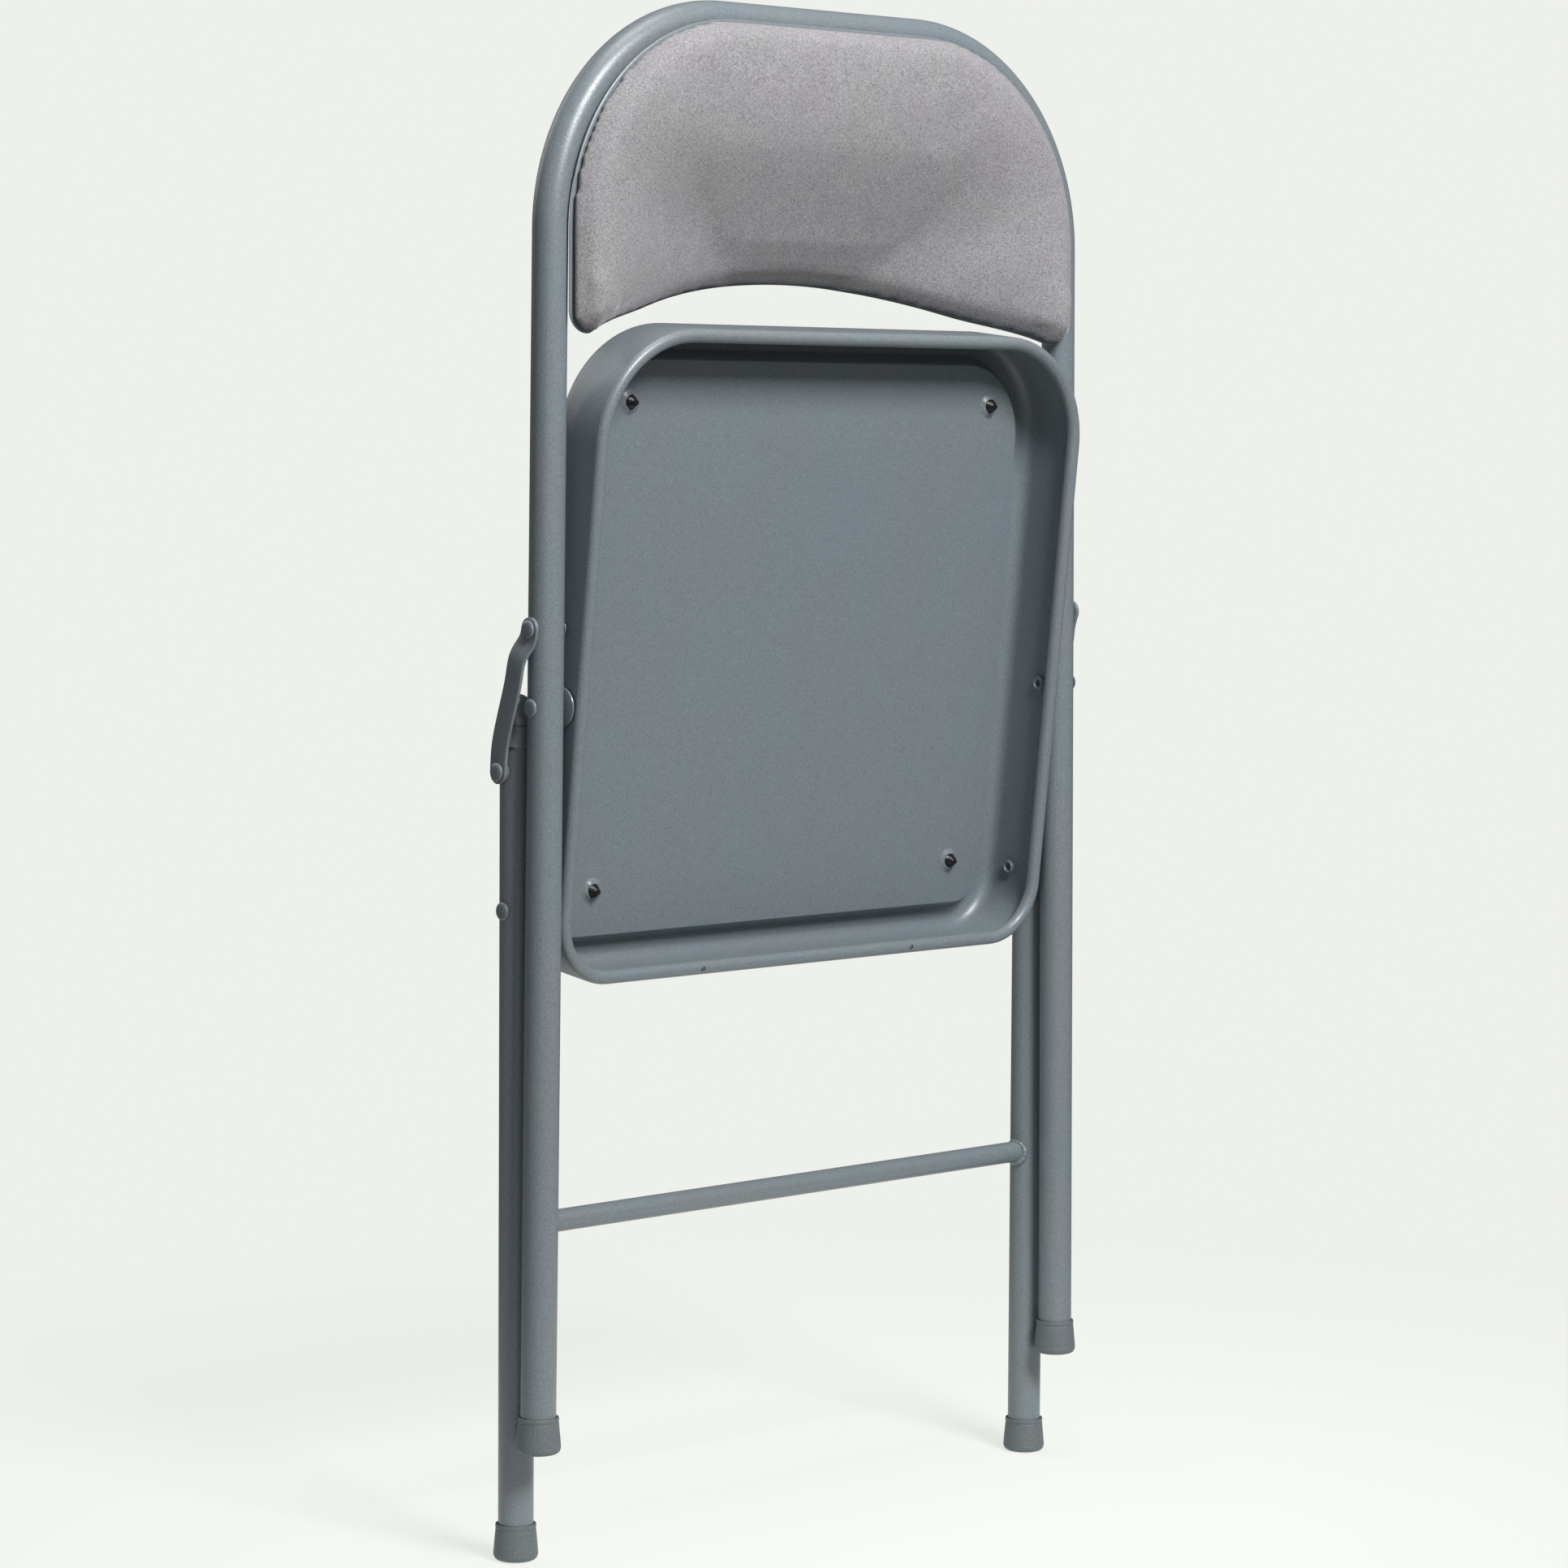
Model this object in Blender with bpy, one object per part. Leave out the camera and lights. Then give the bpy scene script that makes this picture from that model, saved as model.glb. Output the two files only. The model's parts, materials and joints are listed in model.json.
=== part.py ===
"""Steel folding chair, standing folded.

Frame of reference: X to the sitter's left-right, Y from the front of the chair to its back, Z up.
The origin is on the floor between the rear feet. The chair folds about three axes parallel to X on
each side: seat to front frame, seat to rear legs, and a short strap from front frame to rear legs.
Metres throughout.
"""
import math

import bmesh
import bpy
from mathutils import Vector

# --- driving dimensions ---------------------------------------------------------------------
GAP = 0.0003                    # clearance between pieces that touch
TUBE_R = 0.011                  # leg and back tube, outside radius
TUBE_WALL = 0.0012
FRONT_FOOT_Z = 0.0693           # the front legs end above the rear ones when folded
FRONT_Y = -0.01428              # plane of the front frame
FRONT_HALF_AT_FOOT = 0.2205     # half the front legs' spacing at the floor end
FRONT_SPLAY = 0.0092            # the legs draw together by this much per metre of height
TOP_Z = 0.9279                  # centre line of the top of the back
TOP_BEND_R = 0.132
REAR_Y = FRONT_Y + 0.025        # plane of the rear legs
REAR_HALF = 0.2174
REAR_TUBE_TOP_Z = 0.5028
CROSSBAR_Z = 0.2017
CROSSBAR_R = 0.0068
CROSSBAR_WALL = 0.0010

SEAT_PIVOT_Z = 0.5147           # seat on the front frame
LEG_PIVOT_Z = 0.3923            # seat on the rear legs
LINK_TOP_Z = 0.5612             # strap on the front frame
LINK_BOTTOM_Z = 0.4757          # strap on the rear legs

SEAT_TILT = math.radians(6.5)   # the folded seat's front edge leans forward
PAN_HALF = 0.2008               # outside of the pan's side walls
PAN_FRONT = 0.2274              # from the seat pivot to the pan's front edge
PAN_REAR = -0.1693              # from the seat pivot to the pan's rear edge
PAN_FRONT_CORNER_R = 0.070
PAN_REAR_CORNER_R = 0.040
PAN_SHEET = 0.0012
PAN_FLOOR = -0.0214             # underside of the seat panel, behind the pivot axis
PAN_FILLET_R = 0.009
PAN_CHANNEL = -0.0312            # floor of the channel round the raised seat panel
PAN_PANEL_INSET = 0.022         # edge of the raised panel
PAN_STEP = 0.006                # how wide the slope down to the channel is
RIM_SHALLOW = 0.0018            # the rim is this much lower than RIM_CENTRE
RIM_FLARE = 0.0024              # the wall leans out by this at the rim
RIM_CENTRE = 0.0132             # centre of the rolled edge, in front of the pivot axis
RIM_R = 0.0042
SEAT_BOARD_T = 0.0095
CUSHION_INSET = 0.008
CUSHION_T = 0.0222
SCREW_HALF = 0.1517             # seat screws, half their spacing across the seat
SCREW_FRONT = 0.1798
SCREW_REAR = -0.1190
RIM_HOLE_HALF = 0.0887
RIM_HOLE_R = 0.0018

BACK_INSET = 0.001              # back panel's edge inside the tube's centre line
BACK_EDGE_HALF = 0.2095
BACK_CORNER_Z = 0.7355          # lowest point of the back panel's corners
BACK_CORNER_R = 0.014
ARCH_TOP_Z = 0.7700             # middle of the back panel's lower edge
ARCH_R = 0.487
DISH_DEPTH = 0.050              # how far the middle of the lower edge is pressed backwards
DISH_MARGIN = 0.011             # flat border that lies on the tube
DISH_EASE = 0.04
PANEL_SHEET = 0.0012
BACK_BOARD_T = 0.003
BACK_BOARD_INSET = 0.008
LAYER_GAP = 0.0006              # between the dished layers of the back
BACK_CUSHION_T = 0.012

BACK_HOLE_R = 0.0026
SEAT_HOLE_R = 0.0039

RIVET_R = 0.0030
RIVET_HEAD_R = 0.0055
STRAP_T = 0.0022
STRAP_HALF_W = 0.00725
STRAP_JOGGLE = 0.0034           # the strap steps outwards past the leg's end cap
STRAP_GAP = 0.0005              # strap to front tube at its upper rivet
CAP_R = 0.0128
CAP_DOME_H = 0.0175
FOOT_TOP_R = 0.0121
FOOT_BOTTOM_R = 0.0136
FOOT_H = 0.022

SIDES = {"left": -1, "right": 1}
GREY = (0.195, 0.225, 0.245)
DARK_GREY = (0.115, 0.135, 0.150)

MATERIALS = {
    "powder_coat": (GREY, 0.42, 0.25),
    "rubber_grey": (DARK_GREY, 0.70, 0.0),
    "velvet": ((0.33, 0.31, 0.34), 0.95, 0.0),
    "hardboard": ((0.20, 0.12, 0.07), 0.85, 0.0),
    "black_screw": ((0.012, 0.012, 0.013), 0.45, 0.6),
    "nylon": (GREY, 0.50, 0.0),
}


# --- scene and materials --------------------------------------------------------------------
def clear_scene():
    for obj in list(bpy.data.objects):
        bpy.data.objects.remove(obj, do_unlink=True)


def make_material(name):
    colour, roughness, metallic = MATERIALS[name]
    mat = bpy.data.materials.new(name)
    mat.use_nodes = True
    shader = mat.node_tree.nodes["Principled BSDF"]
    shader.inputs["Base Color"].default_value = (*colour, 1)
    shader.inputs["Roughness"].default_value = roughness
    shader.inputs["Metallic"].default_value = metallic
    return mat


def add_object(name, verts, faces, material, pivot=None):
    """One mesh object. Points are given in world space; pivot becomes its origin."""
    origin = Vector(pivot or (0, 0, 0))
    mesh = bpy.data.meshes.new(name)
    mesh.from_pydata([tuple(Vector(v) - origin) for v in verts], [], faces)
    bm = bmesh.new()
    bm.from_mesh(mesh)
    bmesh.ops.recalc_face_normals(bm, faces=bm.faces)
    if bm.calc_volume(signed=True) < 0:
        bmesh.ops.reverse_faces(bm, faces=bm.faces)
    bm.to_mesh(mesh)
    bm.free()
    mesh.shade_smooth()
    mesh.set_sharp_from_angle(angle=math.radians(35))
    obj = bpy.data.objects.new(name, mesh)
    obj.location = origin
    bpy.context.scene.collection.objects.link(obj)
    mesh.materials.append(bpy.data.materials.get(material) or make_material(material))
    return obj


def cut(obj, cutters):
    """Takes each cutter's volume away from obj."""
    for cutter in cutters:
        cutter.hide_render = True
        cutter.display_type = "WIRE"
        modifier = obj.modifiers.new(cutter.name, "BOOLEAN")
        modifier.operation = "DIFFERENCE"
        modifier.solver = "EXACT"
        modifier.object = cutter


# --- general shapes -------------------------------------------------------------------------
def sweep(rings, closed_profile=False):
    """Faces that join rings of equal length. Without closed_profile the first and last are capped."""
    n = len(rings[0])
    verts = [p for ring in rings for p in ring]
    faces = []
    pairs = len(rings) if closed_profile else len(rings) - 1
    for k in range(pairs):
        a, b = k * n, (k + 1) % len(rings) * n
        for i in range(n):
            j = (i + 1) % n
            faces.append((a + i, a + j, b + j, b + i))
    if not closed_profile:
        faces.append(tuple(range(n)))
        faces.append(tuple(range(len(verts) - n, len(verts))))
    return verts, faces


def turned(profile, origin, axis, sides=16, closed_profile=False):
    """A turned shape from (radius, distance along axis) pairs."""
    axis = Vector(axis).normalized()
    turn = axis.to_track_quat("Z", "Y").to_matrix()
    rings = []
    for radius, along in profile:
        ring = []
        for i in range(sides):
            a = 2 * math.pi * i / sides
            local = Vector((radius * math.cos(a), radius * math.sin(a), along))
            ring.append(Vector(origin) + turn @ local)
        rings.append(ring)
    return sweep(rings, closed_profile)


def cylinder_cutter(name, radius, start, end, sides=16):
    start, end = Vector(start), Vector(end)
    length = (end - start).length
    verts, faces = turned([(radius, 0), (radius, length)], start, end - start, sides)
    return add_object(name, verts, faces, "powder_coat")


def tube_along(path, radius, wall, sides=14):
    """A hollow tube along a path that lies in a plane of constant Y, open at both ends."""
    rings_out, rings_in = [], []
    for k, point in enumerate(path):
        ahead = path[min(k + 1, len(path) - 1)] - path[max(k - 1, 0)]
        along = ahead.normalized()
        across = Vector((0, 1, 0)).cross(along).normalized()
        for rings, r in ((rings_out, radius), (rings_in, radius - wall)):
            ring = []
            for i in range(sides):
                a = 2 * math.pi * i / sides
                ring.append(point + across * r * math.cos(a) + Vector((0, 1, 0)) * r * math.sin(a))
            rings.append(ring)
    return sweep(rings_out + rings_in[::-1], closed_profile=True)


def arc(centre, radius, start, end, steps):
    """Points of a flat arc as (x, z) pairs, angles in degrees."""
    points = []
    for k in range(steps + 1):
        a = math.radians(start + (end - start) * k / steps)
        points.append((centre[0] + radius * math.cos(a), centre[1] + radius * math.sin(a)))
    return points


def front_half(z):
    """Half the spacing of the front legs' centre lines at height z."""
    return FRONT_HALF_AT_FOOT - FRONT_SPLAY * (z - FRONT_FOOT_Z)


# --- front frame ----------------------------------------------------------------------------
def frame_path():
    """Centre line of the inverted U, from the left leg's lower end to the right one's."""
    lower = FRONT_FOOT_Z + 0.0035
    bend_z = TOP_Z - TOP_BEND_R
    half = front_half(bend_z)
    left = [(-front_half(z), z) for z in (lower, 0.30, SEAT_PIVOT_Z, 0.68)]
    left += arc((-half + TOP_BEND_R, bend_z), TOP_BEND_R, 180, 90, 9)
    right = [(-x, z) for x, z in reversed(left)]
    return [Vector((x, FRONT_Y, z)) for x, z in left + right]


def front_frame():
    verts, faces = tube_along(frame_path(), TUBE_R, TUBE_WALL)
    frame = add_object("front_frame", verts, faces, "powder_coat")
    cutters = []
    for side, sign in SIDES.items():
        for label, z in (("seat", SEAT_PIVOT_Z), ("link", LINK_TOP_Z)):
            x = sign * front_half(z)
            start = (x - 0.02, FRONT_Y, z)
            end = (x + 0.02, FRONT_Y, z)
            name = f"cut_front_{label}_{side}"
            cutters.append(cylinder_cutter(name, RIVET_R + GAP, start, end))
    cut(frame, cutters)


def foot(name, x, y, floor_z):
    """A rubber cup over the end of a leg, flat underneath with a rounded edge."""
    bore = TUBE_R + 0.0004
    profile = [
        (0.0110, 0.0), (0.0128, 0.0006), (FOOT_BOTTOM_R, 0.0024), (FOOT_BOTTOM_R, 0.0040),
        (FOOT_TOP_R, FOOT_H - 0.0008), (FOOT_TOP_R - 0.0004, FOOT_H), (bore, FOOT_H), (bore, 0.003),
    ]
    verts, faces = turned(profile, (x, y, floor_z), (0, 0, 1), 18)
    return add_object(name, verts, faces, "rubber_grey", (x, y, floor_z))


# --- back -----------------------------------------------------------------------------------
def back_upper(inset, steps=8):
    """Upper edge of the back panel from its left corner over the top to its right corner."""
    bend_z = TOP_Z - TOP_BEND_R
    half = BACK_EDGE_HALF
    radius = TOP_BEND_R - BACK_INSET
    corner_x = half - BACK_CORNER_R
    corner_z = BACK_CORNER_Z + BACK_CORNER_R
    side = arc((-corner_x, corner_z), BACK_CORNER_R - inset, 250, 180, 4)
    side += [(-half + inset, corner_z + (bend_z - corner_z) * k / 3) for k in (1, 2)]
    side += arc((-half + radius, bend_z), radius - inset, 180, 90, steps)
    across = -half + radius
    top = [(across * (1 - k / 3), TOP_Z - BACK_INSET - inset) for k in (1, 2)]
    left = side + top
    return left + [(0.0, TOP_Z - BACK_INSET - inset)] + [(-x, z) for x, z in reversed(left)]


def back_lower(inset, count):
    """The arched lower edge, from the left corner to the right one, in count points."""
    corner_x = BACK_EDGE_HALF - BACK_CORNER_R
    corner_z = BACK_CORNER_Z + BACK_CORNER_R
    r = BACK_CORNER_R - inset
    arch = ARCH_R + inset
    centre_z = ARCH_TOP_Z - ARCH_R
    touch = math.degrees(math.atan2(corner_z - centre_z, -corner_x))
    corner = arc((-corner_x, corner_z), r, 250, touch + 180, 3)
    foot_x, foot_z = corner[-1]
    start = math.atan2(foot_z - centre_z, foot_x)
    reach = math.hypot(foot_x, foot_z - centre_z)
    middle = count - 2 * len(corner)
    points = []
    for k in range(1, middle + 1):
        share = k / (middle + 1)
        a = start + (math.pi - 2 * start) * share
        blend = min(1.0, 6 * min(share, 1 - share))
        r_here = reach + (arch - reach) * blend
        points.append((r_here * math.cos(a), centre_z + r_here * math.sin(a)))
    return corner + points + [(-x, z) for x, z in reversed(corner)]


def inside_edge(x, z):
    """Distance from (x, z) to the panel's U-shaped edge, positive inside it."""
    radius = TOP_BEND_R - BACK_INSET
    over_x = abs(x) - (BACK_EDGE_HALF - radius)
    over_z = z - (TOP_Z - TOP_BEND_R)
    if over_x > 0 and over_z > 0:
        return radius - math.hypot(over_x, over_z)
    return radius - max(over_x, over_z)


def dish(x, z):
    """How far back the panel is pressed at (x, z): none at its tube edge, most at the arch."""
    inner = max(0.0, inside_edge(x, z) - DISH_MARGIN) / (BACK_EDGE_HALF - DISH_MARGIN)
    eased = inner * inner / (inner + DISH_EASE)
    across = 1 - (1 - eased / (1 - DISH_EASE)) ** 2
    down = (TOP_Z - BACK_INSET - z) / (TOP_Z - ARCH_TOP_Z)
    down = min(1.0, max(0.0, down))
    return DISH_DEPTH * across * (3 * down ** 2 - 2 * down ** 3)


def dish_normal(x, z):
    """Unit vector out of the back of the dished panel at (x, z)."""
    step = 0.001
    slope_x = (dish(x + step, z) - dish(x - step, z)) / (2 * step)
    slope_z = (dish(x, z + step) - dish(x, z - step)) / (2 * step)
    return Vector((-slope_x, 1, -slope_z)).normalized()


def back_layer(name, profile, material, rows=5):
    """A closed layer of the back from (inset, distance forward of the tube front) pairs.

    The first and last pairs are the edges of the rear and front faces, which follow the dish.
    """
    def place(point, forward):
        x, z = point
        return Vector((x, FRONT_Y - TUBE_R - forward + dish(x, z), z))

    verts, faces = [], []
    loops = []
    for inset, forward in profile:
        upper = back_upper(inset)
        lower = back_lower(inset, len(upper))
        loop = upper + lower[-2:0:-1]
        start = len(verts)
        verts += [place(p, forward) for p in loop]
        loops.append(list(range(start, start + len(loop))))
    for a, b in zip(loops, loops[1:]):
        n = len(a)
        faces += [(a[i], a[(i + 1) % n], b[(i + 1) % n], b[i]) for i in range(n)]
    for loop, (inset, forward) in ((loops[0], profile[0]), (loops[-1], profile[-1])):
        upper = back_upper(inset)
        lower = back_lower(inset, len(upper))
        last = len(upper) - 1
        grid = [[loop[0]] + [loop[-i] for i in range(1, last)] + [loop[last]]]
        for r in range(1, rows):
            row = [loop[0]]
            for i in range(1, last):
                x = lower[i][0] + (upper[i][0] - lower[i][0]) * r / rows
                z = lower[i][1] + (upper[i][1] - lower[i][1]) * r / rows
                row.append(len(verts))
                verts.append(place((x, z), forward))
            grid.append(row + [loop[last]])
        grid.append(loop[:last + 1])
        for low, high in zip(grid, grid[1:]):
            for i in range(last):
                ring = [low[i], low[i + 1], high[i + 1], high[i]]
                faces.append(tuple(dict.fromkeys(ring)))
    return add_object(name, verts, faces, material)


BACK_SCREWS = [(-0.135, 0.872), (0.135, 0.872), (-0.150, 0.775), (0.150, 0.775)]


def back_parts():
    rim = BACK_BOARD_INSET
    panel_back = 0.0004
    panel_front = panel_back + PANEL_SHEET
    board_back = panel_front + LAYER_GAP
    board_front = board_back + BACK_BOARD_T
    cushion_back = board_front + LAYER_GAP
    cushion_front = cushion_back + BACK_CUSHION_T
    sheet = [(rim, panel_back), (0.0, panel_back), (0.0, panel_front), (rim, panel_front)]
    panel = back_layer("backrest_panel", sheet, "powder_coat")
    board = back_layer("backrest_board", [(rim, board_back), (rim, board_front)], "hardboard")
    cushion = [
        (rim, cushion_back), (rim - 0.0012, cushion_back), (rim - 0.0012, board_back),
        (0.0015, board_back), (0.0, board_back + 0.0012), (0.0005, board_back + 0.0032),
        (0.0035, board_back + 0.0066), (0.0090, cushion_front - 0.0035),
        (0.0160, cushion_front - 0.0012), (0.0240, cushion_front),
    ]
    back_layer("backrest_cushion", cushion, "velvet")
    holes = {panel: [], board: []}
    for k, (x, z) in enumerate(BACK_SCREWS, 1):
        behind = dish_normal(x, z)
        face = Vector((x, FRONT_Y - TUBE_R - panel_back + dish(x, z), z))
        for obj, cutters in holes.items():
            start, end = face + behind * 0.02, face - behind * 0.02
            cutters.append(cylinder_cutter(f"cut_{obj.name}_{k}", BACK_HOLE_R, start, end, 12))
        under_head = 0.0019
        profile = [
            (0.0030, 0.0), (0.0046, 0.0009), (0.0048, under_head), (0.0019, under_head),
            (0.0019, under_head + 0.0038), (0.0006, under_head + 0.0048),
        ]
        verts, faces = turned(profile, face + behind * (under_head + 0.0008), -behind, 12)
        add_object(f"backrest_screw_{k}", verts, faces, "black_screw")
    for obj, cutters in holes.items():
        cut(obj, cutters)


# --- seat -----------------------------------------------------------------------------------
def seat_point(x, along, out):
    """From seat coordinates: along towards its front edge, out towards its underside."""
    y = FRONT_Y - along * math.sin(SEAT_TILT) - out * math.cos(SEAT_TILT)
    z = SEAT_PIVOT_Z + along * math.cos(SEAT_TILT) - out * math.sin(SEAT_TILT)
    return Vector((x, y, z))


def seat_outline(inset, corner_steps=6):
    """Rounded outline of the pan, moved inwards by inset, as (x, along) pairs."""
    half, front, rear = PAN_HALF - inset, PAN_FRONT - inset, PAN_REAR + inset
    r_front, r_rear = PAN_FRONT_CORNER_R - inset, PAN_REAR_CORNER_R - inset
    points = arc((half - r_front, front - r_front), r_front, 0, 90, corner_steps)
    points += arc((-half + r_front, front - r_front), r_front, 90, 180, corner_steps)
    points += arc((-half + r_rear, rear + r_rear), r_rear, 180, 270, corner_steps)
    points += arc((half - r_rear, rear + r_rear), r_rear, 270, 360, corner_steps)
    return points


def seat_layer(name, profile, material):
    """A closed shape from (inset, out) pairs; its two ends are flat caps."""
    rings = []
    for inset, out in profile:
        rings.append([pan_point(x, along, out) for x, along in seat_outline(inset)])
    verts, faces = sweep(rings)
    return add_object(name, verts, faces, material, (0, FRONT_Y, SEAT_PIVOT_Z))


def wall_share(out):
    """0 at the seat panel and below it, 1 at the rim."""
    return min(1.0, max(0.0, (out - PAN_FLOOR) / (RIM_CENTRE - PAN_FLOOR)))


def wall_half(out):
    """Half the pan's outside width: its walls lean out towards the rim."""
    return PAN_HALF + RIM_FLARE * wall_share(out) ** 2


def pan_point(x, along, out):
    wider = wall_half(out) / PAN_HALF
    return seat_point(x * wider, along, out - RIM_SHALLOW * wall_share(out))


def pan_profile():
    """Half section of the pressed sheet: panel, fillet, wall and the rolled edge, both faces."""
    inner = [(PAN_PANEL_INSET, PAN_FLOOR), (PAN_PANEL_INSET - PAN_STEP, PAN_CHANNEL)]
    outer = [(PAN_PANEL_INSET + PAN_SHEET / 2, PAN_FLOOR - PAN_SHEET)]
    outer += [(PAN_PANEL_INSET - PAN_STEP + PAN_SHEET / 2, PAN_CHANNEL - PAN_SHEET)]
    centre = (PAN_SHEET + PAN_FILLET_R, PAN_CHANNEL + PAN_FILLET_R)
    outer += arc(centre, PAN_FILLET_R + PAN_SHEET, 270, 180, 5)
    inner += arc(centre, PAN_FILLET_R, 270, 180, 5)
    roll = (RIM_R, RIM_CENTRE)
    outer += arc(roll, RIM_R, 180, -40, 7)
    inner += arc(roll, RIM_R - PAN_SHEET, 180, -40, 7)
    return outer + inner[::-1]


def seat_pan():
    pan = seat_layer("seat_pan", pan_profile(), "powder_coat")
    cutters = []
    for side, sign in SIDES.items():
        for label, y, z in (("front", FRONT_Y, SEAT_PIVOT_Z), ("rear", REAR_Y, LEG_PIVOT_Z)):
            start = (sign * 0.1884, y, z)
            end = (sign * 0.2127, y, z)
            cutters.append(cylinder_cutter(f"cut_pan_{label}_{side}", RIVET_R + GAP, start, end))
        start = seat_point(sign * RIM_HOLE_HALF, PAN_REAR + RIM_R, 0.0125)
        end = seat_point(sign * RIM_HOLE_HALF, PAN_REAR + RIM_R, 0.0185)
        cutters.append(cylinder_cutter(f"cut_pan_rim_{side}", RIM_HOLE_R, start, end, 12))
    for k, (x, along) in enumerate(screw_places(), 1):
        start = seat_point(x, along, PAN_FLOOR - 0.006)
        end = seat_point(x, along, PAN_FLOOR + 0.006)
        cutters.append(cylinder_cutter(f"cut_pan_screw_{k}", SEAT_HOLE_R, start, end))
    cut(pan, cutters)


def screw_places():
    return [(sign * SCREW_HALF, along) for along in (SCREW_FRONT, SCREW_REAR) for sign in (-1, 1)]


def seat_board_and_cushion():
    board_in = PAN_FLOOR - PAN_SHEET - GAP
    board_out = board_in - SEAT_BOARD_T
    edge = PAN_PANEL_INSET + 0.0012
    board = seat_layer("seat_board", [(edge, board_in), (edge, board_out)], "hardboard")
    cutters = []
    for k, (x, along) in enumerate(screw_places(), 1):
        start = seat_point(x, along, board_out - 0.004)
        end = seat_point(x, along, board_in + 0.004)
        cutters.append(cylinder_cutter(f"cut_board_screw_{k}", SEAT_HOLE_R, start, end))
    cut(board, cutters)
    pocket = board_out - GAP
    top = pocket - CUSHION_T
    cushion = [
        (edge + 0.004, pocket - 0.003), (edge + 0.004, pocket), (CUSHION_INSET, pocket),
        (CUSHION_INSET + 0.0015, pocket - 0.004), (CUSHION_INSET + 0.0055, pocket - 0.009),
        (CUSHION_INSET + 0.012, top + 0.0062), (CUSHION_INSET + 0.022, top + 0.0017),
        (CUSHION_INSET + 0.034, top),
    ]
    seat_layer("seat_cushion", cushion, "velvet")


def seat_screws():
    """Machine screws from inside the board; their threaded points stand out under the pan."""
    board_out = PAN_FLOOR - PAN_SHEET - GAP - SEAT_BOARD_T
    for k, (x, along) in enumerate(screw_places(), 1):
        base = seat_point(x, along, board_out - GAP - 0.0024)
        axis = seat_point(0, 0, 1) - seat_point(0, 0, 0)
        shank = PAN_FLOOR - board_out + GAP + 0.0024
        profile = [(0.0070, 0.0), (0.0074, 0.0012), (0.0070, 0.0022), (0.0033, 0.0022)]
        profile += [(0.0033, shank + 0.0002)]
        for turn in range(3):
            z = shank + 0.0006 + 0.0013 * turn
            profile += [(0.0037, z), (0.0032, z + 0.0006)]
        profile += [(0.0030, shank + 0.0045), (0.0018, shank + 0.0064)]
        verts, faces = turned(profile, base, axis, 12)
        add_object(f"seat_screw_{k}", verts, faces, "black_screw")


# --- rear legs ------------------------------------------------------------------------------
def rear_leg(side, sign):
    x = sign * REAR_HALF
    heights = (0.0035, LEG_PIVOT_Z, REAR_TUBE_TOP_Z)
    path = [Vector((x, REAR_Y, z)) for z in heights]
    verts, faces = tube_along(path, TUBE_R, TUBE_WALL)
    leg = add_object(f"rear_leg_{side}", verts, faces, "powder_coat", (x, REAR_Y, LEG_PIVOT_Z))
    start = (x - 0.02, REAR_Y, LEG_PIVOT_Z)
    end = (x + 0.02, REAR_Y, LEG_PIVOT_Z)
    cut(leg, [cylinder_cutter(f"cut_leg_{side}", RIVET_R + GAP, start, end)])


def rear_leg_cap(side, sign):
    """A moulded cap over the leg's upper end; its dome stops the unfolded leg."""
    bore = TUBE_R + 0.0004
    skirt = 0.013
    profile = [(bore, skirt), (bore, 0.0), (CAP_R - 0.0005, 0.0), (CAP_R - 0.0001, 0.0006)]
    profile += [(CAP_R - 0.0001, skirt - 0.0008), (CAP_R - 0.0007, skirt - 0.0004)]
    profile += [(CAP_R - 0.0007, skirt + 0.0004)]
    for k in range(5):
        a = math.radians(84 * k / 4)
        radius = (CAP_R - 0.0003) * math.cos(a)
        profile.append((radius, skirt + 0.0010 + CAP_DOME_H * math.sin(a)))
    origin = (sign * REAR_HALF, REAR_Y, REAR_TUBE_TOP_Z - skirt + 0.0004)
    verts, faces = turned(profile, origin, (0, 0, 1), 16)
    add_object(f"rear_leg_cap_{side}", verts, faces, "nylon")


def crossbar():
    """A thinner tube between the rear legs, its ends saddled round them with a weld bead."""
    end, bead = REAR_HALF - 0.004, 0.0065
    inner = CROSSBAR_R - CROSSBAR_WALL
    half_profile = [
        (CROSSBAR_R + 0.0016, -end), (CROSSBAR_R + 0.0016, -end + bead),
        (CROSSBAR_R + 0.0008, -end + bead + 0.0012), (CROSSBAR_R, -end + bead + 0.0016),
    ]
    profile = half_profile + [(r, -x) for r, x in reversed(half_profile)]
    profile += [(inner, end), (inner, -end)]
    origin = (0, REAR_Y, CROSSBAR_Z)
    verts, faces = turned(profile, origin, (1, 0, 0), 16, closed_profile=True)
    bar = add_object("rear_crossbar", verts, faces, "powder_coat", origin)
    cutters = []
    for side, sign in SIDES.items():
        start = (sign * REAR_HALF, REAR_Y, CROSSBAR_Z - 0.03)
        finish = (sign * REAR_HALF, REAR_Y, CROSSBAR_Z + 0.03)
        cutters.append(cylinder_cutter(f"cut_bar_{side}", TUBE_R + GAP, start, finish, 20))
    cut(bar, cutters)


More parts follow.
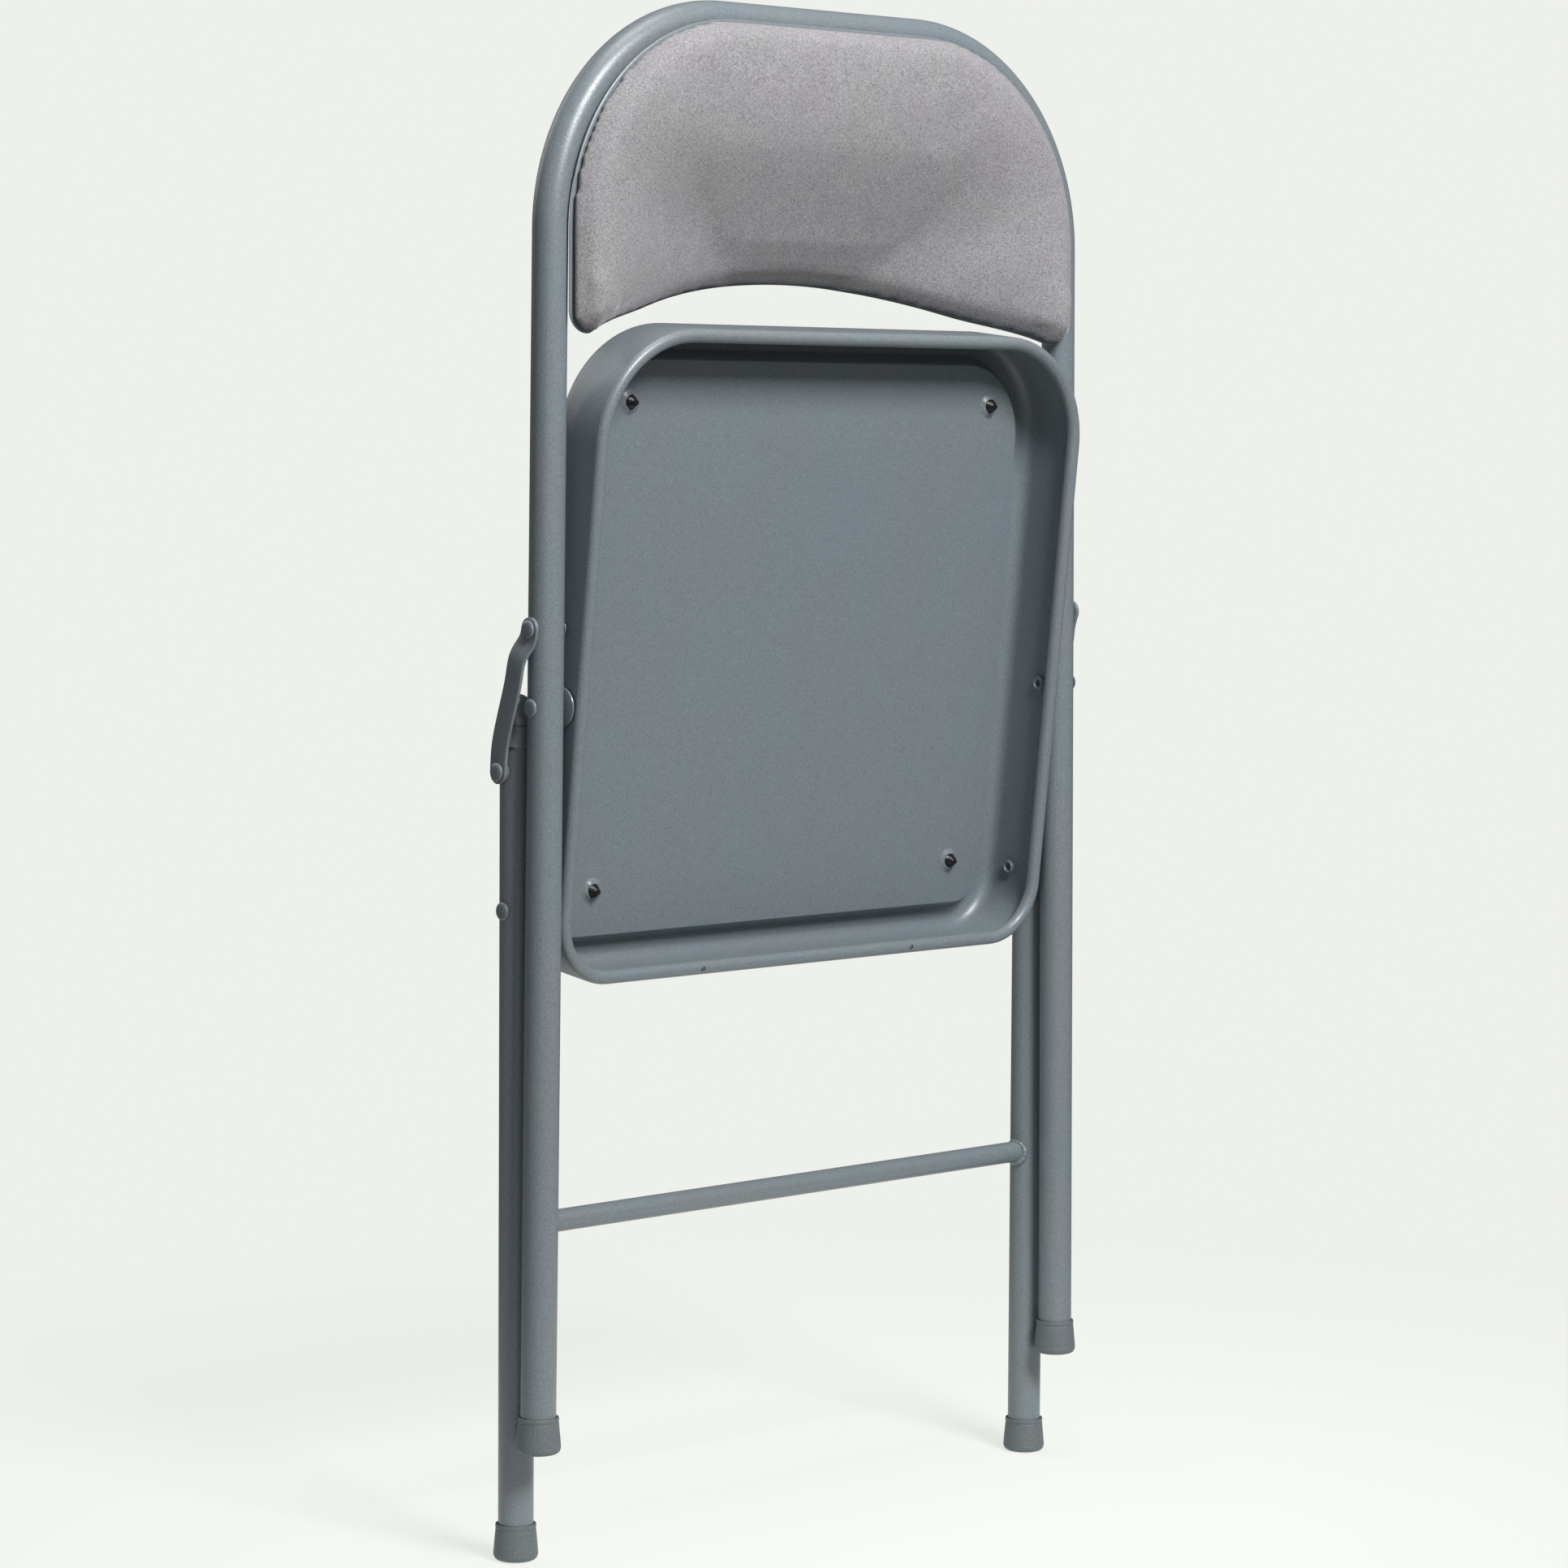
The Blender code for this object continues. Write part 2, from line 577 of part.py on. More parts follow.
# --- straps, rivets and spacers -------------------------------------------------------------
def strap_centre():
    """Points of the strap's middle line as (back, up, outwards) from its upper rivet."""
    drop = LINK_TOP_Z - LINK_BOTTOM_Z
    back = REAR_Y - FRONT_Y
    lift = STRAP_JOGGLE
    corners = [(0, 0, 0), (0.0024, -0.0068, 0), (0.0074, -0.0175, lift), (0.0123, -0.035, lift)]
    corners += [(0.0228, -0.067, lift), (back, -drop, lift)]
    points = [Vector(corners[0])]
    padded = [Vector(corners[0])] + [Vector(c) for c in corners] + [Vector(corners[-1])]
    for k in range(1, len(padded) - 2):
        p0, p1, p2, p3 = padded[k - 1:k + 3]
        for step in range(1, 4):
            t = step / 3
            linear = 2 * p1 + (p2 - p0) * t
            square = (2 * p0 - 5 * p1 + 4 * p2 - p3) * t ** 2
            cubic = (3 * p1 - p0 - 3 * p2 + p3) * t ** 3
            points.append((linear + square + cubic) / 2)
    return points


def flat(direction):
    """The direction without its outward part."""
    return Vector((direction.x, direction.y, 0)).normalized()


def strap_stations():
    """Sections of the strap, round at both ends, as (middle point, direction, half width)."""
    centre = strap_centre()
    stations = []
    for k, point in enumerate(centre):
        along = centre[min(k + 1, len(centre) - 1)] - centre[max(k - 1, 0)]
        stations.append((point, along.normalized(), STRAP_HALF_W))
    first, last = stations[0], stations[-1]
    for angle in (22, 42, 60, 75, 86):
        beyond = STRAP_HALF_W * math.sin(math.radians(angle))
        half_w = STRAP_HALF_W * math.cos(math.radians(angle))
        stations.insert(0, (first[0] - flat(first[1]) * beyond, first[1], half_w))
        stations.append((last[0] + flat(last[1]) * beyond, last[1], half_w))
    return stations


def strap(side, sign):
    inner = front_half(LINK_TOP_Z) + TUBE_R + STRAP_GAP
    bevel = 0.0004
    rings = []
    for point, along, half_w in strap_stations():
        across = Vector((-along.y, along.x, 0)).normalized()
        ring = []
        for out, inset in ((0, bevel), (bevel, 0), (STRAP_T - bevel, 0), (STRAP_T, bevel)):
            ring.append(point + across * max(half_w - inset, half_w / 2) + Vector((0, 0, out)))
        for out, inset in ((STRAP_T, bevel), (STRAP_T - bevel, 0), (bevel, 0), (0, bevel)):
            ring.append(point - across * max(half_w - inset, half_w / 2) + Vector((0, 0, out)))
        rings.append([Vector((sign * (inner + p.z), FRONT_Y + p.x, LINK_TOP_Z + p.y)) for p in ring])
    verts, faces = sweep(rings)
    pivot = (sign * inner, FRONT_Y, LINK_TOP_Z)
    link = add_object(f"link_{side}", verts, faces, "powder_coat", pivot)
    cutters = []
    for label, y, z in (("top", FRONT_Y, LINK_TOP_Z), ("bottom", REAR_Y, LINK_BOTTOM_Z)):
        start = (sign * (inner - 0.01), y, z)
        end = (sign * (inner + 0.02), y, z)
        cutters.append(cylinder_cutter(f"cut_link_{label}_{side}", RIVET_R + GAP, start, end))
    cut(link, cutters)


def rivet(name, profile, x_start, sign, y, z):
    """A turned rivet whose profile runs from x_start towards the middle of the chair."""
    verts, faces = turned(profile, (sign * x_start, y, z), (-sign, 0, 0), 12)
    return add_object(name, verts, faces, "powder_coat")


def head_profile(height):
    """Low domed head, its flat side at height."""
    r = RIVET_HEAD_R
    return [(r * 0.45, 0.0), (r * 0.78, height * 0.22), (r * 0.96, height * 0.6), (r, height)]


def pivot_rivet(name, outer_x, wall_x, lift, sign, y, z):
    """From the tube's outside through tube, spacer and pan wall to a flared eyelet.

    The eyelet stands off the inside of the pan wall by lift.
    """
    height = 0.0020
    wall = outer_x + GAP + height - (wall_x - PAN_SHEET) + lift
    profile = head_profile(height) + [(RIVET_R, height), (RIVET_R, wall)]
    profile += [(0.0042, wall), (0.0049, wall + 0.0005), (0.0049, wall + 0.0009)]
    profile += [(0.0041, wall + 0.0009), (0.0038, wall + 0.0017), (0.0030, wall + 0.0017)]
    profile += [(0.0022, wall + 0.0004), (0.0020, wall - 0.004)]
    rivet(name, profile, outer_x + GAP + height, sign, y, z)


def spacer(name, tube_inner_x, wall_x, rim_r, sign, y, z):
    """A cupped washer between tube and pan wall, its wide side against the tube."""
    start = tube_inner_x - GAP
    reach = start - (wall_x + 0.0012)
    bore = RIVET_R + GAP
    profile = [
        (bore, 0.0), (rim_r, 0.0), (rim_r + 0.0003, 0.0006), (rim_r - 0.0002, 0.0014),
        (0.0062, reach - 0.0008), (0.0056, reach), (bore, reach),
    ]
    verts, faces = turned(profile, (sign * start, y, z), (-sign, 0, 0), 14, closed_profile=True)
    add_object(name, verts, faces, "nylon")


def fasteners(side, sign):
    seat_x = front_half(SEAT_PIVOT_Z)
    front_wall = wall_half(0.0)
    rear_wall = wall_half(-0.011)
    pivot_rivet(f"seat_rivet_{side}", seat_x + TUBE_R, front_wall, 0.0010, sign, FRONT_Y, SEAT_PIVOT_Z)
    pivot_rivet(f"leg_rivet_{side}", REAR_HALF + TUBE_R, rear_wall, 0.0012, sign, REAR_Y, LEG_PIVOT_Z)
    spacer(f"seat_spacer_{side}", seat_x - TUBE_R, front_wall, 0.0118, sign, FRONT_Y, SEAT_PIVOT_Z)
    spacer(f"leg_spacer_{side}", REAR_HALF - TUBE_R, rear_wall, 0.0092, sign, REAR_Y, LEG_PIVOT_Z)

    link_x = front_half(LINK_TOP_Z)
    strap_out = link_x + TUBE_R + STRAP_GAP + STRAP_T
    height = 0.0018
    top = strap_out + GAP + height
    through = top - (link_x - TUBE_R - GAP)
    profile = head_profile(height) + [(RIVET_R, height), (RIVET_R, through)]
    profile += [(0.0045, through), (0.0045, through + 0.0010)]
    rivet(f"link_top_rivet_{side}", profile, top, sign, FRONT_Y, LINK_TOP_Z)

    lower_out = strap_out + strap_centre()[-1].z
    top = lower_out + GAP + height
    profile = head_profile(height) + [(RIVET_R, height), (RIVET_R, height + GAP + STRAP_T)]
    rivet(f"link_bottom_rivet_{side}", profile, top, sign, REAR_Y, LINK_BOTTOM_Z)

    start = lower_out - STRAP_T - GAP
    reach = start - (REAR_HALF + TUBE_R + GAP)
    bore = RIVET_R + GAP
    profile = [(bore, 0.0), (0.0060, 0.0), (0.0060, reach), (bore, reach)]
    origin = (sign * start, REAR_Y, LINK_BOTTOM_Z)
    verts, faces = turned(profile, origin, (-sign, 0, 0), 14, closed_profile=True)
    add_object(f"link_washer_{side}", verts, faces, "nylon")


# --- assembly -------------------------------------------------------------------------------
def hang_on_axes():
    """Parents every moving piece to an empty on its joint's axis."""
    axes = {
        "seat_axis": ((0, FRONT_Y, SEAT_PIVOT_Z), ("seat_pan", "seat_board", "seat_cushion", "seat_screw")),
        "rear_frame_axis": ((0, REAR_Y, LEG_PIVOT_Z), ("rear_", "leg_rivet", "leg_spacer", "link_washer")),
    }
    for side, sign in SIDES.items():
        pivot = (sign * front_half(LINK_TOP_Z), FRONT_Y, LINK_TOP_Z)
        axes[f"link_{side}_axis"] = (pivot, (f"link_{side}", f"link_bottom_rivet_{side}"))
    for name, (pivot, prefixes) in axes.items():
        moving = [obj for obj in bpy.data.objects if obj.name.startswith(prefixes)]
        axis = bpy.data.objects.new(name, None)
        axis.location = pivot
        bpy.context.scene.collection.objects.link(axis)
        for obj in moving:
            obj.location -= axis.location
            obj.parent = axis


def main():
    clear_scene()
    front_frame()
    back_parts()
    seat_pan()
    seat_board_and_cushion()
    seat_screws()
    crossbar()
    for side, sign in SIDES.items():
        foot(f"front_foot_{side}", sign * front_half(FRONT_FOOT_Z + FOOT_H / 2), FRONT_Y, FRONT_FOOT_Z)
        foot(f"rear_foot_{side}", sign * REAR_HALF, REAR_Y, 0.0)
        rear_leg(side, sign)
        rear_leg_cap(side, sign)
        strap(side, sign)
        fasteners(side, sign)
    hang_on_axes()


main()
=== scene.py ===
"""Looks for the folded steel folding chair: fine pressed-steel and tube work, powder coat,
cloth-simulated velvet pads, rubber feet, and a soft studio. Metres, Z up, +Y to the chair's back.
"""
import json
import math

import bmesh
import bpy
from mathutils import Matrix, Vector, noise


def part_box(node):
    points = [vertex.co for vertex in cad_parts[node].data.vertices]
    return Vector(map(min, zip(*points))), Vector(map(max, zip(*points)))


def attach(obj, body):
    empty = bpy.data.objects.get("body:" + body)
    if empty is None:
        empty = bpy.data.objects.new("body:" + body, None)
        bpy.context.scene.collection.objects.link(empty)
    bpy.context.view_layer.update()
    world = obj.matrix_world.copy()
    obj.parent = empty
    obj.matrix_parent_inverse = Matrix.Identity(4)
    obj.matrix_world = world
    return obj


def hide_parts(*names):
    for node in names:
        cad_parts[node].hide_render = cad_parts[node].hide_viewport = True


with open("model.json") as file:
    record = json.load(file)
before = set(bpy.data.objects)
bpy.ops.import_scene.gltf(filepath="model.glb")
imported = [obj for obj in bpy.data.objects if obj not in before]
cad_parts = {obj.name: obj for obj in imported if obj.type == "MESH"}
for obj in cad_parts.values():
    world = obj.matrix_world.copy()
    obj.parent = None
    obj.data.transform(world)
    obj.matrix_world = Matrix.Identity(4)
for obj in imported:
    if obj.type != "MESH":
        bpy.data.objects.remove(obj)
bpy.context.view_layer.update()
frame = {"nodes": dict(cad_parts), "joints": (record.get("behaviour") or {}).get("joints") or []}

# --- places and sizes, from the frame ---------------------------------------------------------
JOINTS = {j["name"]: Vector(j["pos_m"]) for j in frame["joints"]}
SEAT_PIVOT = JOINTS["seat_fold"]
LEG_PIVOT = JOINTS["rear_frame_fold"]
LINK_TOP = JOINTS["link_right_swing"]
FRAME_LOW, FRAME_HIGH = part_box("front_frame")
FRONT_Y = SEAT_PIVOT.y
REAR_Y = LEG_PIVOT.y
TUBE_R = (FRAME_HIGH.y - FRAME_LOW.y) / 2
TOP_Z = FRAME_HIGH.z - TUBE_R
FRONT_FOOT_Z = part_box("front_foot_left")[0].z
FRONT_HALF_AT_FOOT = FRAME_HIGH.x - TUBE_R
REAR_HALF = (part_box("rear_leg_right")[0].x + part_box("rear_leg_right")[1].x) / 2
REAR_TUBE_TOP_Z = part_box("rear_leg_right")[1].z
CROSSBAR_Z = (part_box("rear_crossbar")[0].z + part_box("rear_crossbar")[1].z) / 2
LINK_BOTTOM_Z = sum(corner.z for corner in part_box("link_bottom_rivet_left")) / 2

GAP = 0.0003
FRONT_SPLAY = 0.0092            # the front legs draw together by this much per metre
TOP_BEND_R = 0.132
CROSSBAR_R = 0.0068
FOOT_H = 0.022
CAP_R = 0.0128

SEAT_TILT = math.radians(6.5)
PAN_HALF = 0.2008
PAN_FRONT = 0.2274
PAN_REAR = -0.1693
PAN_FRONT_CORNER_R = 0.070
PAN_REAR_CORNER_R = 0.040
PAN_SHEET = 0.0012
PAN_FLOOR = -0.0214
PAN_FILLET_R = 0.009
PAN_CHANNEL = -0.0312           # floor of the channel round the raised seat panel
PAN_PANEL_INSET = 0.022         # edge of the raised panel
PAN_STEP = 0.006                # how wide the slope down to the channel is
RIM_SHALLOW = 0.0018            # the rim is this much lower than RIM_CENTRE
RIM_FLARE = 0.0024              # the wall leans out by this at the rim
RIM_CENTRE = 0.0132
RIM_R = 0.0042
RIM_HOLE_HALF = 0.0887
SEAT_BOARD_T = 0.0095
SEAT_PAD_T = 0.0222
LEG_PIVOT_OUT = -0.011          # the rear pivot, measured as PAN_FLOOR is
SCREW_PLACES = [(sign * 0.1517, along) for along in (0.1798, -0.1190) for sign in (-1, 1)]

BACK_INSET = 0.001
BACK_EDGE_HALF = 0.2095
BACK_CORNER_Z = 0.7355
BACK_CORNER_R = 0.014
ARCH_TOP_Z = 0.7700
ARCH_R = 0.487
DISH_DEPTH = 0.050
DISH_MARGIN = 0.011
DISH_EASE = 0.04
BACK_PAD_REAR = 0.0058          # from the tube's front to the pad's rear face, over the board
BACK_PAD_EDGE = 0.0022          # the same where the pad wraps the board's edge
BACK_PAD_T = 0.012
BACK_BOARD_INSET = 0.008
BACK_SCREWS = [(-0.135, 0.872), (0.135, 0.872), (-0.150, 0.775), (0.150, 0.775)]

RIVET_R = 0.0030
RIVET_HEAD_R = 0.0055
STRAP_T = 0.0022
STRAP_HALF_W = 0.00725
STRAP_JOGGLE = 0.0034
STRAP_GAP = 0.0005

SIDES = {"left": -1, "right": 1}
SHARP_ANGLE = 38                # degrees; steeper edges are shaded sharp

CLOTH_FRAMES = 20
CLOTH_STIFFNESS = 40
CLOTH_BENDING = 5
SPREAD_PASSES = 30
SOFTEN_PASSES = 2


# --- mesh helpers -----------------------------------------------------------------------------
def make_mesh(name, verts, faces, sharp=SHARP_ANGLE):
    mesh = bpy.data.meshes.new(name)
    mesh.from_pydata([tuple(v) for v in verts], [], faces)
    bm = bmesh.new()
    bm.from_mesh(mesh)
    bmesh.ops.recalc_face_normals(bm, faces=bm.faces)
    if bm.calc_volume(signed=True) < 0:
        bmesh.ops.reverse_faces(bm, faces=bm.faces)
    bm.to_mesh(mesh)
    bm.free()
    mesh.shade_smooth()
    mesh.set_sharp_from_angle(angle=math.radians(sharp))
    obj = bpy.data.objects.new(name, mesh)
    bpy.context.scene.collection.objects.link(obj)
    return obj


def finish_piece(obj, body, slot, *nodes):
    """Gives a piece its material and body, and hides the CAD nodes that it stands for."""
    obj.data.materials.clear()
    obj.data.materials.append(MATERIALS[slot])
    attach(obj, body)
    if nodes:
        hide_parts(*nodes)
    return obj


def sweep(rings, closed_profile=False):
    """Faces that join rings of equal length. Without closed_profile the first and last are capped."""
    n = len(rings[0])
    verts = [p for ring in rings for p in ring]
    faces = []
    pairs = len(rings) if closed_profile else len(rings) - 1
    for k in range(pairs):
        a, b = k * n, (k + 1) % len(rings) * n
        for i in range(n):
            j = (i + 1) % n
            faces.append((a + i, a + j, b + j, b + i))
    if not closed_profile:
        faces.append(tuple(range(n)))
        faces.append(tuple(range(len(verts) - n, len(verts))))
    return verts, faces


def turned(profile, origin, axis, sides=40, closed_profile=False):
    """A turned shape from (radius, distance along axis) pairs."""
    axis = Vector(axis).normalized()
    turn = axis.to_track_quat("Z", "Y").to_matrix()
    rings = []
    for radius, along in profile:
        ring = []
        for i in range(sides):
            a = 2 * math.pi * i / sides
            local = Vector((radius * math.cos(a), radius * math.sin(a), along))
            ring.append(Vector(origin) + turn @ local)
        rings.append(ring)
    return sweep(rings, closed_profile)


def rounded(profile, steps=3):
    """The profile with every inner corner cut into a small curve."""
    out = [profile[0]]
    for a, b, c in zip(profile, profile[1:], profile[2:]):
        before, corner, after = Vector(a), Vector(b), Vector(c)
        reach = 0.35 * min((before - corner).length, (after - corner).length)
        start = corner + (before - corner).normalized() * reach
        end = corner + (after - corner).normalized() * reach
        for k in range(steps + 1):
            t = k / steps
            out.append(tuple(start * (1 - t) ** 2 + corner * 2 * t * (1 - t) + end * t ** 2))
    return out + [profile[-1]]


def tube_along(path, radius, wall=0.0012, sides=56):
    """A hollow tube along a path that lies in a plane of constant Y."""
    outer, inner = [], []
    for k, point in enumerate(path):
        ahead = path[min(k + 1, len(path) - 1)] - path[max(k - 1, 0)]
        across = Vector((0, 1, 0)).cross(ahead.normalized()).normalized()
        for rings, r in ((outer, radius), (inner, radius - wall)):
            ring = []
            for i in range(sides):
                a = 2 * math.pi * i / sides
                ring.append(point + across * r * math.cos(a) + Vector((0, 1, 0)) * r * math.sin(a))
            rings.append(ring)
    return sweep(outer + inner[::-1], closed_profile=True)


def arc(centre, radius, start, end, steps):
    points = []
    for k in range(steps + 1):
        a = math.radians(start + (end - start) * k / steps)
        points.append((centre[0] + radius * math.cos(a), centre[1] + radius * math.sin(a)))
    return points


def smooth(t):
    t = min(1.0, max(0.0, t))
    return 3 * t * t - 2 * t ** 3


def drill(obj, cutters):
    """Takes the cutters' volume away for good and removes them."""
    for cutter in cutters:
        modifier = obj.modifiers.new("drill", "BOOLEAN")
        modifier.operation = "DIFFERENCE"
        modifier.solver = "EXACT"
        modifier.object = cutter
    apply_modifiers(obj)
    for cutter in cutters:
        bpy.data.objects.remove(cutter, do_unlink=True)
    obj.data.shade_smooth()
    obj.data.set_sharp_from_angle(angle=math.radians(SHARP_ANGLE))


def apply_modifiers(obj):
    bpy.context.view_layer.update()
    graph = bpy.context.evaluated_depsgraph_get()
    mesh = bpy.data.meshes.new_from_object(obj.evaluated_get(graph))
    obj.modifiers.clear()
    obj.data = mesh


# --- materials --------------------------------------------------------------------------------
class Nodes:
    """Short calls for building one material's node tree."""

    def __init__(self, name):
        self.material = bpy.data.materials.new(name)
        self.material.use_nodes = True
        self.tree = self.material.node_tree
        self.shader = self.tree.nodes["Principled BSDF"]
        self.place = self.add("ShaderNodeTexCoord").outputs["Object"]

    def add(self, kind, **values):
        node = self.tree.nodes.new(kind)
        for key, value in values.items():
            setattr(node, key, value)
        return node

    def link(self, source, target):
        self.tree.links.new(source, target)

    def noise(self, scale, detail=2.0, rough=0.5, distortion=0.0):
        node = self.add("ShaderNodeTexNoise")
        node.inputs["Scale"].default_value = scale
        node.inputs["Detail"].default_value = detail
        node.inputs["Roughness"].default_value = rough
        node.inputs["Distortion"].default_value = distortion
        self.link(self.place, node.inputs["Vector"])
        return node.outputs["Fac"]

    def ramp(self, source, stops):
        """A colour ramp from (place, colour) stops."""
        node = self.add("ShaderNodeValToRGB")
        elements = node.color_ramp.elements
        while len(elements) < len(stops):
            elements.new(0.5)
        for element, (place, colour) in zip(elements, stops):
            element.position = place
            element.color = (*colour, 1)
        self.link(source, node.inputs["Fac"])
        return node.outputs["Color"]

    def mix(self, amount, a, b, mode="MIX"):
        node = self.add("ShaderNodeMix", data_type="RGBA", blend_type=mode)
        if isinstance(amount, (int, float)):
            node.inputs["Factor"].default_value = amount
        else:
            self.link(amount, node.inputs["Factor"])
        self.link(a, node.inputs["A"])
        self.link(b, node.inputs["B"])
        return node.outputs["Result"]

    def spread(self, source, low, high, start=0.3, end=0.7):
        node = self.add("ShaderNodeMapRange")
        node.inputs["From Min"].default_value = start
        node.inputs["From Max"].default_value = end
        node.inputs["To Min"].default_value = low
        node.inputs["To Max"].default_value = high
        self.link(source, node.inputs["Value"])
        return node.outputs["Result"]

    def bump(self, height, strength, distance, normal=None):
        node = self.add("ShaderNodeBump")
        node.inputs["Strength"].default_value = strength
        node.inputs["Distance"].default_value = distance
        self.link(height, node.inputs["Height"])
        if normal:
            self.link(normal, node.inputs["Normal"])
        return node.outputs["Normal"]

    def constant(self, **values):
        for key, value in values.items():
            self.shader.inputs[key.replace("_", " ")].default_value = value

    def set(self, name, source):
        self.link(source, self.shader.inputs[name])


def scaled(colour, factor):
    return tuple(c * factor for c in colour)


def painted(name, colour, gloss, grain):
    """Satin powder coat: orange peel, fine grain and a slow drift of tone."""
    m = Nodes(name)
    fine = m.noise(1300, 2, 0.7)
    drift = m.noise(14, 3)
    warm = (colour[0] * 1.02, colour[1], colour[2] * 0.985)
    cool = (colour[0] * 0.98, colour[1], colour[2] * 1.015)
    tone = m.ramp(drift, [(0.35, warm), (0.65, cool)])
    speck = m.ramp(fine, [(0.36, scaled((1, 1, 1), 1 - grain)), (0.64, scaled((1, 1, 1), 1 + grain))])
    m.set("Base Color", m.mix(1.0, tone, speck, "MULTIPLY"))
    m.set("Roughness", m.spread(m.noise(420, 3), gloss - 0.05, gloss + 0.07))
    peel = m.bump(m.noise(620, 2, 0.4), 0.42, 0.00018)
    m.set("Normal", m.bump(fine, 0.35, 0.00007, peel))
    m.constant(Metallic=0.0)
    m.constant(**{"Specular IOR Level": 0.62})
    return m.material


def velvet():
    """Short pile: speckled fibres, slow brushed patches, and a pale sheen where it turns away."""
    m = Nodes("velvet")
    patches = m.noise(14, 3, 0.55, 0.4)
    streaks = m.noise(60, 4, 0.6, 0.3)
    fibres = m.noise(1500, 3, 0.75)
    tufts = m.noise(620, 3, 0.7)
    mauve, grey = (0.276, 0.266, 0.281), (0.274, 0.270, 0.273)
    tone = m.ramp(patches, [(0.36, mauve), (0.62, grey)])
    brushed = m.ramp(streaks, [(0.32, (0.95, 0.95, 0.955)), (0.68, (1.04, 1.04, 1.035))])
    tone = m.mix(1.0, tone, brushed, "MULTIPLY")
    speck = m.ramp(fibres, [(0.34, (0.42, 0.41, 0.44)), (0.47, (1.0, 1.0, 1.0)), (0.68, (1.42, 1.41, 1.40))])
    tone = m.mix(1.0, tone, speck, "MULTIPLY")
    tuft = m.ramp(tufts, [(0.34, (0.80, 0.80, 0.81)), (0.66, (1.14, 1.14, 1.14))])
    m.set("Base Color", m.mix(1.0, tone, tuft, "MULTIPLY"))
    m.set("Roughness", m.spread(tufts, 0.86, 0.98))
    nap = m.bump(tufts, 0.40, 0.0005)
    m.set("Normal", m.bump(fibres, 0.55, 0.00035, nap))
    m.constant(**{"Specular IOR Level": 0.2, "Sheen Weight": 0.50, "Sheen Roughness": 0.32})
    m.constant(**{"Sheen Tint": (0.93, 0.90, 0.95, 1)})
    return m.material


def rubber():
    m = Nodes("foot_rubber")
    fine = m.noise(900, 3)
    m.set("Base Color", m.ramp(fine, [(0.3, (0.098, 0.118, 0.128)), (0.7, (0.142, 0.165, 0.176))]))
    m.set("Roughness", m.spread(m.noise(260, 3), 0.50, 0.64))
    m.set("Normal", m.bump(fine, 0.25, 0.00012))
    m.constant(**{"Specular IOR Level": 0.45})
    return m.material


def hardboard():
    m = Nodes("hardboard")
    fibres = m.noise(380, 5, 0.7, 0.8)
    m.set("Base Color", m.ramp(fibres, [(0.3, (0.12, 0.065, 0.035)), (0.7, (0.27, 0.165, 0.095))]))
    m.set("Roughness", m.spread(fibres, 0.72, 0.9))
    m.set("Normal", m.bump(fibres, 0.4, 0.0003))
    return m.material


def black_screw():
    m = Nodes("black_screw")
    fine = m.noise(1400, 3)
    m.set("Base Color", m.ramp(fine, [(0.3, (0.008, 0.008, 0.009)), (0.7, (0.022, 0.021, 0.021))]))
    m.set("Roughness", m.spread(m.noise(700, 2), 0.24, 0.42))
    m.set("Normal", m.bump(fine, 0.2, 0.00008))
    m.constant(Metallic=0.35)
    return m.material


GREY = (0.166, 0.193, 0.210)
MATERIALS = {
    "powder_coat": painted("powder_coat", GREY, 0.36, 0.20),
    "nylon": painted("nylon", (0.165, 0.185, 0.198), 0.24, 0.05),
    "velvet": velvet(),
    "foot_rubber": rubber(),
    "hardboard": hardboard(),
    "black_screw": black_screw(),
}


# --- front frame ------------------------------------------------------------------------------
def front_half(z):
    return FRONT_HALF_AT_FOOT - FRONT_SPLAY * (z - FRONT_FOOT_Z)


def front_tube():
    lower = FRONT_FOOT_Z + 0.0035
    bend_z = TOP_Z - TOP_BEND_R
    half = front_half(bend_z)
    left = [(-front_half(z), z) for z in (lower, 0.25, 0.42, 0.58, 0.72)]
    left += arc((-half + TOP_BEND_R, bend_z), TOP_BEND_R, 180, 90, 48)
    across = half - TOP_BEND_R
    top = [(-across / 2, TOP_Z), (0, TOP_Z), (across / 2, TOP_Z)]
    points = left + top + [(-x, z) for x, z in reversed(left)]
    verts, faces = tube_along([Vector((x, FRONT_Y, z)) for x, z in points], TUBE_R)
    finish_piece(make_mesh("front_tube", verts, faces), "front_frame", "powder_coat", "front_frame")


def foot(end, side):
    """A moulded rubber cup: beaded lip, slight flare, rounded sole."""
    node = f"{end}_foot_{side}"
    low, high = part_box(node)
    x, y, floor_z = (low.x + high.x) / 2, (low.y + high.y) / 2, low.z
    bore = TUBE_R + GAP
    outside = [
        (0.0, 0.0), (0.0102, 0.0), (0.0118, 0.0004), (0.0129, 0.0014), (0.01345, 0.0028),
        (0.01358, 0.0040), (0.01342, 0.0043), (0.01350, 0.0047), (0.01305, 0.0100),
        (0.01250, 0.0160), (0.01226, 0.0186), (0.01196, 0.0191), (0.01232, 0.0197),
        (0.01236, 0.0212), (0.01215, FOOT_H - 0.0002), (0.0119, FOOT_H), (bore, FOOT_H - 0.0004),
        (bore, 0.0036), (0.0, 0.0036),
    ]
    profile = [(max(r, 0.00002), z) for r, z in rounded(outside, 2)]
    verts, faces = turned(profile, (x, y, floor_z), (0, 0, 1), 56)
    body = "front_frame" if end == "front" else "rear_frame"
    finish_piece(make_mesh(f"foot_{end}_{side}", verts, faces, 60), body, "foot_rubber", node)


